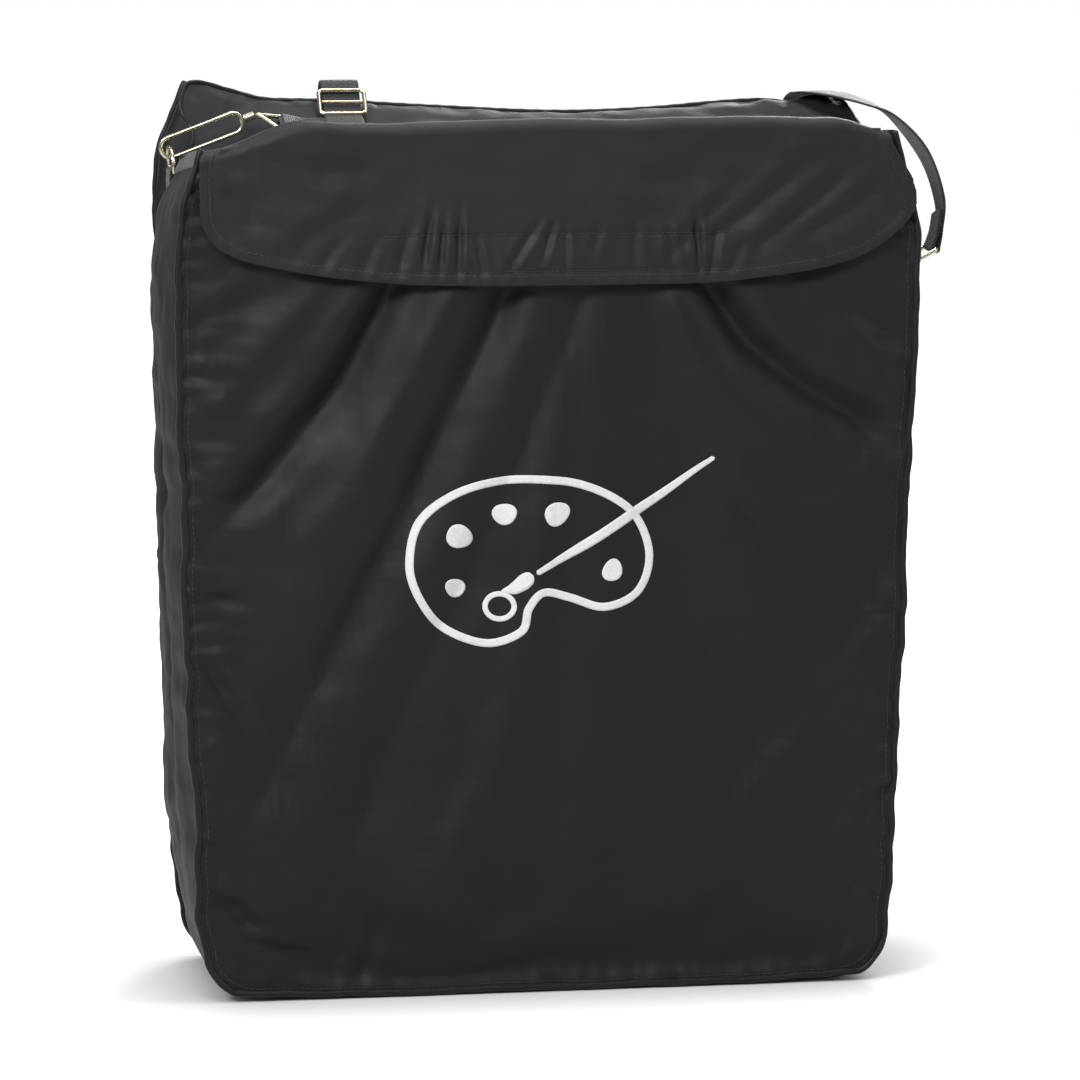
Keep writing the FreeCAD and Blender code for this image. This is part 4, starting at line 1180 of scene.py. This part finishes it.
def rim_binding(side_name, grid):
    """Tape over the open part of a gusset's top edge."""
    chosen = (GUSSET_Y > -71.5) & (GUSSET_Y < 22)
    edge = grid[0][chosen]
    across = unit(grid[4][chosen] - edge)
    normal = grid_normals(grid)[0][chosen]
    normal = normal * np.sign(normal[:, :1] * np.sign(edge[:, :1]))
    centre = edge + across * 4.6 - normal * (CLOTH_THICK / 2)
    centre = resample(np.hstack([centre, across]), 1.6)
    node = f"mouth_binding_{side_name}"
    place(ribbon(f"{node}_tape", centre[:, :3], centre[:, 3:], BIND_WIDTH, BIND_THICK, BINDING),
          "case", "binding_tape", node)


def front_binding():
    """Tape over the top edge of the front panel; returns its stitches."""
    x = np.linspace(-214, 214, 240)
    top = front_top(x)
    centre = warp(x, front_y(x, top - 4.7) + CLOTH_THICK / 2, top - 4.1)
    place(ribbon("mouth_binding_front_tape", centre, (0, 0, 1), BIND_WIDTH, BIND_THICK, BINDING),
          "case", "binding_tape", "mouth_binding_front")
    return stitches(centre + np.array([0, -1.62, -4.6]), (0, -1, 0),
                    length=2.6, gap=1.1, radius=0.3, lift=0.1)


def rear_cord():
    """Cord along the rear seam of the top and the rear of both rims."""
    rear = GUSSET_Y > 20
    path = np.vstack([left_gusset[0][rear], rear_top_grid[-1, 3:-3],
                      right_gusset[0][rear][::-1]])
    path = running_mean(resample(path, 2.0), 5) + np.array([0, 0, 0.3])
    radius = 1.55 + 0.12 * np.sin(np.arange(len(path)) * 1.1)
    place(build("rear_top_seam_cord", [tube_part(path, radius, sides=12)], CORD),
          "case", "corded_seam")


def inside_tapes():
    """Tapes that cover the seams inside."""
    for end, y in (("front", -66.5), ("back", 66.5)):
        x, z = outline(y, offset=-2.6, tops=(486.0, 486.0))
        path = resample(warp(x, y, np.maximum(z, 2.9)), 2.6)
        place(ribbon(f"seam_tape_{end}_inside", path, (0, 1, 0), 9.5, 1.0, BINDING, flat=5),
              "case", "binding_tape", f"seam_tape_{end}")
    path = join(BASE_SEAM_X, np.linspace(-69, 69, 60), 0.62)
    place(ribbon("base_seam_tape", path, (1, 0, 0), 11.0, 0.9, BINDING, flat=7),
          "case", "binding_tape")


def edge_stitches(y, surface):
    """Topstitching beside the piping."""
    x, z = outline(y, offset=-5.2, step=2.0, tops=(548.0, 560.0))
    z = np.maximum(z, 5.0)
    return stitches(warp(x, surface(x, z), z), (0, math.copysign(1.0, y), 0),
                    length=2.8, gap=1.3, radius=0.30, lift=0.08)


rim_binding("left", left_gusset)
rim_binding("right", right_gusset)
case_stitches = front_binding()
rear_cord()
inside_tapes()
case_stitches += edge_stitches(FRONT_Y, front_y) + edge_stitches(BACK_Y, back_y)
place(build("case_stitching", case_stitches, THREAD, fix=False), "case", "outer_cloth")

# ----------------------------------------------------------- tabs and patches

LEFT_TAB_LEAN = math.radians(17.745)


def on_left_tab(path):
    """Local (outward, up) points of the left tab, which leans in towards its top."""
    cos, sin = math.cos(LEFT_TAB_LEAN), math.sin(LEFT_TAB_LEAN)
    out, up = np.asarray(path, float).T
    return join(-238.0 + out * cos + up * sin, LEFT_TAB_Y, 485.0 - out * sin + up * cos)


def on_right_tab(path):
    out, up = np.asarray(path, float).T
    return join(239.2 + out, RIGHT_TAB_Y, 470.0 + up)


def box_stitches(origin, up, normal, wide, tall):
    """A stitched rectangle with both diagonals; its width runs along Y."""
    corners = [(-wide, -tall), (wide, -tall), (wide, tall), (-wide, tall),
               (-wide, -tall), (wide, tall)]
    lines = list(zip(corners[:-1], corners[1:])) + [((wide, -tall), (-wide, tall))]
    t = np.linspace(0, 1, 30)[:, None]
    parts = []
    for start, stop in lines:
        q = mix(np.array(start)[None], np.array(stop)[None], t)
        path = origin + q[:, :1] * np.array([0.0, 1.0, 0.0]) + q[:, 1:] * np.array(up)
        parts += stitches(path, normal, length=2.2, gap=0.9, radius=0.3, lift=0.1)
    return parts


def ring_tabs():
    """Webbing folded round each side ring."""
    left = np.vstack([
        [(-1.2, 1.0), (-1.2, 20.0), (-2.0, 31.0), (-4.4, 38.6)],
        arc(-8.0, 42.8, 2.55, -38, 222),
        [(-8.9, 37.4), (-6.6, 31.0), (-4.0, 24.0), (-3.1, 15.0), (-2.9, 0.0)]])
    right = np.vstack([
        [(2.3, 34.0), (2.3, 18.0), (2.9, 9.0), (6.4, 1.6)],
        arc(11.6, -1.0, 2.55, 200, 420),
        [(10.6, 4.6), (6.4, 9.6), (4.3, 14.0), (3.9, 22.0), (3.9, 35.0)]])
    for side, path, put in (("left", left, on_left_tab), ("right", right, on_right_tab)):
        centre = resample(put(smooth_path(path, 5)), 0.9)
        place(webbing(f"ring_tab_{side}_webbing", centre, (0, 1, 0)),
              "case", "webbing", f"ring_tab_{side}")
    cos, sin = math.cos(LEFT_TAB_LEAN), math.sin(LEFT_TAB_LEAN)
    parts = box_stitches(on_left_tab([(-3.75, 11.5)])[0], up=(sin, 0, cos),
                         normal=(-cos, 0, sin), wide=9.5, tall=8.0)
    parts += box_stitches(on_right_tab([(4.75, 26.0)])[0], up=(0, 0, 1),
                          normal=(1, 0, 0), wide=9.5, tall=7.5)
    place(build("tab_stitching", parts, THREAD, fix=False), "case", "webbing")


def patch(side_name, side, centre_y, centre_z):
    """Patch just inside a gusset beside its tab, 40 mm by 32 mm with eased corners."""
    a, b = np.meshgrid(np.linspace(-1, 1, 26), np.linspace(-1, 1, 22))
    y = centre_y + 20 * a * np.sqrt(1 - 0.12 * b**6)
    z = centre_z + 16 * b * np.sqrt(1 - 0.12 * a**6)
    grid = warp(side_x(z, y, side) - side * 2.0, y, z)
    place(sheet(f"tab_patch_{side_name}_cloth", grid, 1.2, CLOTH, join(y, z),
                flip=side == RIGHT), "case", "outer_cloth", f"tab_patch_{side_name}")


ring_tabs()
patch("left", LEFT, LEFT_TAB_Y, 506.0)
patch("right", RIGHT, RIGHT_TAB_Y, 462.0)

# ---------------------------------------------------------------------- strap

STRAP_X = -119.0                 # where the strap climbs over the rear seam
STRAP_TILT = math.radians(19.6)  # slope of the rear strip under the left end
LOOP_RADIUS, LOOP_CORNER_Z = 89.2, 281.0  # lower corners of the hanging loop
LOOP_Y = 97.0


def left_strap():
    """Left end: folded round its ring on the top, with a second run over the rear seam."""
    x, rise = smooth_path(np.vstack([
        [(-139, -1.55), (-148, -1.55), (-155.0, -1.5)],
        arc(-158.6, 0.85, 2.3, 285, 60),
        [(-153.5, 2.1), (-148.5, 0.7), (-142.0, 0.05), (-130, 0.0), (-117, 0.0),
         (-106.8, 0.0)]]), 6).T
    cos, sin = math.cos(STRAP_TILT), math.sin(STRAP_TILT)
    lying = resample(join(x, 35.5 - rise * sin, 557.4 + rise * cos), 0.9)
    # (y, z) of the run up and over the rear seam
    climb = [(22.9, 554.9), (30.0, 557.4), (38.0, 560.3), (44.8, 562.7), (48.3, 564.2),
             (51.0, 566.3), (54.8, 570.4), (60.0, 576.6), (64.6, 582.0), (66.9, 584.0),
             (70.0, 584.9)]
    climbing = resample(smooth_path([(STRAP_X, y, z) for y, z in climb], 10), 1.0)
    parts = [ribbon_part(lying, (0, cos, sin), WEB_WIDTH, WEB_THICK),
             ribbon_part(climbing, (1, 0, 0), WEB_WIDTH, WEB_THICK)]
    place(build("strap_left_end", parts, WEBBING), "case", "webbing", "strap_left_webbing")


def right_strap():
    """Right end: up from its ring and over the rear corner; returns its last knot."""
    knots = [((268.4, -5.0, 500.0), (0, 1, -0.1)), ((265.6, -8.6, 487.0), (0, 1, -0.03))]
    for x, z in arc(264.2, 476.2, 2.45, 165, 375, 10):
        knots.append(((x, RIGHT_TAB_Y, z), (0, 1, 0)))
    knots += [
        ((268.7, -8.6, 487.0), (0, 1, -0.1)), ((271.2, -3.0, 506.0), (0, 0.93, -0.35)),
        ((265.2, 14.0, 534.0), (0.1, 0.85, -0.5)), ((250.5, 33.0, 556.0), (0.3, 0.85, -0.4)),
        ((236.0, 44.5, 566.5), (0.5, 0.85, -0.12)), ((221.0, 54.0, 572.2), (0.58, 0.8, 0.0)),
        ((208.5, 62.5, 574.6), (0.70, 0.70, 0.0)), ((200.6, 70.5, 575.0), (0.88, 0.46, 0.0)),
        ((197.6, 76.5, 573.8), (0.97, 0.22, 0.0))]
    centre, across = smooth_knots(knots, 260)
    place(webbing("strap_right_end", centre, across, curl=0.3),
          "case", "webbing", "strap_right_webbing")
    return centre[-1], across[-1]


def hanging_strap(last_knot):
    """Long loop behind the back, joined to the right end."""
    flat = (0, 1, 0)
    knots = [
        ((STRAP_X, 70.0, 584.9), (1, 0, 0)), ((STRAP_X, 76.5, 583.9), (1, 0, 0)),
        ((-118.8, 83.0, 579.0), (1, 0.05, 0)), ((-117.6, 88.0, 570.5), (0.92, 0.4, 0)),
        ((-114.8, 93.0, 558.0), (0.55, 0.83, 0)), ((-112.4, 96.4, 543.0), (0.15, 1, 0)),
        ((-111.8, LOOP_Y, 525.0), flat), ((-111.5, LOOP_Y, 440.0), flat),
        ((-112.2, 96.6, 350.0), flat), ((-111.7, LOOP_Y, LOOP_CORNER_Z), flat)]
    for x, z in arc(-22.5, LOOP_CORNER_Z, LOOP_RADIUS, 180, 270, 7)[1:]:
        knots.append(((x, LOOP_Y, z), flat))
    knots += [((20.0, LOOP_Y, 191.2), flat), ((60.0, LOOP_Y, 191.2), flat)]
    for x, z in arc(95.5, LOOP_CORNER_Z, LOOP_RADIUS, 270, 360, 7):
        knots.append(((x, LOOP_Y, z), flat))
    knots += [
        ((184.2, LOOP_Y, 360.0), flat), ((185.3, 97.2, 450.0), flat),
        ((184.7, LOOP_Y, 522.0), flat), ((185.2, 96.6, 540.0), (0.12, 1, 0)),
        ((187.6, 94.6, 550.0), (0.5, 0.86, 0)), ((191.0, 91.2, 559.0), (0.85, 0.5, 0)),
        ((193.8, 86.8, 566.2), (0.96, 0.25, 0)), ((196.0, 81.6, 571.2), (0.98, 0.18, 0)),
        last_knot]
    centre, across = smooth_knots(knots, 640)
    loop = place(webbing("strap_hanging_loop", centre, across, curl=0.2),
                 None, "webbing", "strap_loop_webbing")
    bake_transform(loop)


left_strap()
hanging_strap(right_strap())

# --------------------------------------------- hardware and board of the frame

for name in ("d_ring_left", "rect_ring_right", "hook_body", "hook_gate", "hook_swivel",
             "hook_eye", "slider_frame", "slider_bar"):
    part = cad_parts[name]
    part.data.materials.clear()
    part.data.materials.append(METAL)
    part.data.polygons.foreach_set("use_smooth", [True] * len(part.data.polygons))
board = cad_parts["base_board"]
board.data.materials.clear()
board.data.materials.append(BOARD)

# --------------------------------------------------------------- printed mark

MARK_CENTRE = (-14.0, 280.0)  # (x, z) on the front panel
MARK_SCALE = 1.24             # from the mark's own drawing to its printed size
PAINT_UNDER = -0.25           # the underside of the paint lies inside the cloth
STROKE_STEP = 1.1


def on_front(x, z, lift):
    points = warp(x, front_y(x, z), z)
    points[..., 1] -= lift
    return points


def mark_points(points):
    return np.array(points, float) * MARK_SCALE + MARK_CENTRE


def stroke(path, widths):
    """A painted line; widths are spread evenly along it."""
    path = resample(path, STROKE_STEP)
    count = len(path)
    tangent = unit(np.gradient(path, axis=0))
    closed = np.linalg.norm(path[0] - path[-1]) < 0.05
    if closed:
        tangent[0] = tangent[-1] = unit(tangent[0] + tangent[-1])
    half = np.interp(np.linspace(0, 1, count), np.linspace(0, 1, len(widths)),
                     np.asarray(widths) / 2.0)
    if not closed:
        # round the two ends
        to_end = np.minimum(np.arange(count), np.arange(count)[::-1]) * STROKE_STEP
        q = np.clip(to_end / np.maximum(half, 0.1), 0, 1)
        half = np.maximum(half * np.sqrt(1 - (1 - q) ** 2), 0.05)
    offset = half[:, None] * np.array([-1, -0.5, 0, 0.5, 1])
    x = path[:, :1] - tangent[:, 1:] * offset
    z = path[:, 1:] + tangent[:, :1] * offset
    verts = np.concatenate([on_front(x, z, 0.34), on_front(x, z, PAINT_UNDER)[:, ::-1]], 1)
    if closed:
        verts = verts[:-1]
    faces = loft_faces(len(verts), verts.shape[1], closed)
    verts = verts.reshape(-1, 3)
    return verts, faces, verts[:, [0, 2]]


def dab(centre, radius_x, radius_z, turn):
    """A filled spot of paint: rings of points round a centre, closed underneath."""
    rings, sides = 6, 44
    centre_x, centre_z = centre
    angle = np.linspace(0, 2 * math.pi, sides, endpoint=False)
    cos, sin = math.cos(math.radians(turn)), math.sin(math.radians(turn))
    wavy = 1 + 0.05 * np.sin(3 * angle + centre_x)
    layer_size = rings * sides + 1
    verts, faces, outer = [], [], []
    for layer, lift, order in ((0, 0.36, -1), (1, PAINT_UNDER, 1)):
        for i in range(1, rings + 1):
            x = radius_x * i / rings * np.cos(angle) * wavy
            z = radius_z * i / rings * np.sin(angle) * wavy
            verts.append(on_front(centre_x + x * cos - z * sin,
                                  centre_z + x * sin + z * cos, lift))
        verts.append(on_front(np.array([centre_x]), np.array([centre_z]), lift))
        start = layer * layer_size
        ring = [range(start + i * sides, start + (i + 1) * sides) for i in range(rings)]
        for a, b in zip(ring[:-1], ring[1:]):
            faces += [face[::order] for face in band(a, b)]
        middle = start + rings * sides
        faces += [(middle, start + (k + 1) % sides, start + k)[::order] for k in range(sides)]
        outer.append(ring[-1])
    faces += band(*outer)
    verts = np.vstack(verts)
    return verts, faces, verts[:, [0, 2]]


def printed_mark():
    """A painter's palette with five dabs, a thumb hole and a brush."""
    palette = smooth_path(mark_points([
        (-64, 2), (-58, 24), (-36, 40), (-6, 45), (26, 42), (52, 28), (62, 6), (56, -14),
        (38, -22), (20, -17), (6, -14), (-2, -22), (-6, -34), (-24, -40), (-46, -32),
        (-59, -16)]), 14, closed=True)
    parts = [stroke(np.vstack([palette, palette[:1]]), [5.2, 5.2])]
    # dabs: x, z, radius
    for x, z, radius in ((-38, 16, 7.2), (-14, 27, 6.4), (13, 27, 7.0), (42, -3, 6.0),
                         (-40, -11, 5.6)):
        radius *= MARK_SCALE
        parts.append(dab(mark_points((x, z)), radius, radius * 0.86, turn=20 + x))
    angle = np.linspace(0, 2 * math.pi, 60)
    hole = mark_points(join(-17 + 7.5 * np.cos(angle), -21 + 6.5 * np.sin(angle)))
    parts.append(stroke(hole, [3.4, 3.4]))
    handle = mark_points([(2, -4), (30, 12), (62, 32), (96, 55)])
    parts.append(stroke(smooth_path(handle, 14), [3.4, 6.2, 6.6, 5.0, 3.0]))
    tip = mark_points([(-16, -13), (-9, -11.5), (-2, -6.4), (0.5, -4.9)])
    parts.append(stroke(smooth_path(tip, 12), [0.8, 7.6, 10.0, 8.6]))
    place(build("front_printed_mark", parts, PRINT), "case", "outer_cloth")


printed_mark()

# --------------------------------------------------------- studio, in metres


def aim(item, location, target):
    item.location = location
    direction = Vector(target) - Vector(location)
    item.rotation_euler = direction.to_track_quat("-Z", "Y").to_euler()
    bpy.context.scene.collection.objects.link(item)


# Area lights: (name, location, target, size, power in watts).
LIGHTS = [
    ("key", (-1.75, -1.95, 2.05), (0, 0, 0.3), (0.8, 0.8), 50),
    ("upper", (-0.45, -1.15, 1.55), (-0.05, 0, 0.55), (0.6, 0.5), 7.5),
    ("side", (2.3, -0.9, 1.4), (0, 0, 0.28), (0.6, 1.4), 12),
    ("top", (0.1, 0.2, 2.4), (0, 0, 0.4), (1.4, 0.8), 26),
    ("back", (1.1, 2.5, 1.8), (0, 0, 0.35), (0.9, 0.9), 46),
]
for name, location, target, size, power in LIGHTS:
    light = bpy.data.lights.new(name, "AREA")
    light.shape = "RECTANGLE"
    light.size, light.size_y = size
    light.energy = power
    aim(bpy.data.objects.new(name, light), location, target)


def studio_world():
    """Dim fill light, seen by the camera as plain white."""
    world = bpy.data.worlds.new("studio")
    world.use_nodes = True
    nodes, links = world.node_tree.nodes, world.node_tree.links
    fill = nodes["Background"]
    fill.inputs["Color"].default_value = (0.97, 0.98, 1.0, 1)
    fill.inputs["Strength"].default_value = 0.19
    seen = nodes.new("ShaderNodeBackground")
    seen.inputs["Color"].default_value = (1, 1, 1, 1)
    seen.inputs["Strength"].default_value = 1.0
    ray = nodes.new("ShaderNodeLightPath")
    choice = nodes.new("ShaderNodeMixShader")
    links.new(ray.outputs["Is Camera Ray"], choice.inputs[0])
    links.new(fill.outputs[0], choice.inputs[1])
    links.new(seen.outputs[0], choice.inputs[2])
    links.new(choice.outputs[0], nodes["World Output"].inputs["Surface"])
    bpy.context.scene.world = world


def floor_material():
    """Pale near the case, so its soft shadow shows, and paler still further away; next to the case
    ambient occlusion darkens the camera-only glow, a painted contact shadow.
    """
    shader = Shader("studio_floor")
    ray = shader.add("ShaderNodeLightPath")
    position = shader.add("ShaderNodeNewGeometry").outputs["Position"]
    distance = shader.add("ShaderNodeVectorMath", {0: position}, operation="LENGTH")
    # inputs 1 to 4: near and far distance, then the glow at each
    glow = shader.add("ShaderNodeMapRange",
                      {0: distance.outputs["Value"], 1: 0.22, 2: 1.05, 3: 0.60, 4: 0.97},
                      interpolation_type="SMOOTHSTEP")
    # painted contact shadow: ambient occlusion darkens the floor's glow next to the case
    contact = shader.add("ShaderNodeAmbientOcclusion", {"Distance": 0.085})
    shadow = shader.math("POWER", contact.outputs["AO"], 1.6)
    glow_with_painted_shadow = shader.math("MULTIPLY", glow.outputs[0], shadow)
    return shader.surface({
        "Base Color": (0.62, 0.62, 0.62, 1), "Emission Color": (1, 1, 1, 1),
        "Emission Strength": shader.math("MULTIPLY", ray.outputs["Is Camera Ray"], glow_with_painted_shadow),
        "Roughness": 0.9, "Specular IOR Level": 0.1})


def studio_floor():
    """A round floor of 9 m radius, just under the case."""
    material = floor_material()
    mesh = bpy.data.meshes.new("studio_floor")
    edge = [(9.0 * math.cos(a), 9.0 * math.sin(a), -0.0009)
            for a in np.linspace(0, 2 * math.pi, 128, endpoint=False)]
    mesh.from_pydata(edge, [], [list(range(128))])
    mesh.materials.append(material)
    floor = bpy.data.objects.new("studio_floor", mesh)
    bpy.context.scene.collection.objects.link(floor)


studio_world()
studio_floor()

scene = bpy.context.scene
scene.view_settings.view_transform = "Standard"
scene.view_settings.look = "None"

lens = bpy.data.cameras.new("camera")
lens.lens = 184.0
lens.sensor_width = 36.0
camera = bpy.data.objects.new("camera", lens)
aim(camera, location=(-0.585, -3.55, 0.775), target=(0.004, 0.0, 0.286))
scene.camera = camera

bpy.context.view_layer.update()
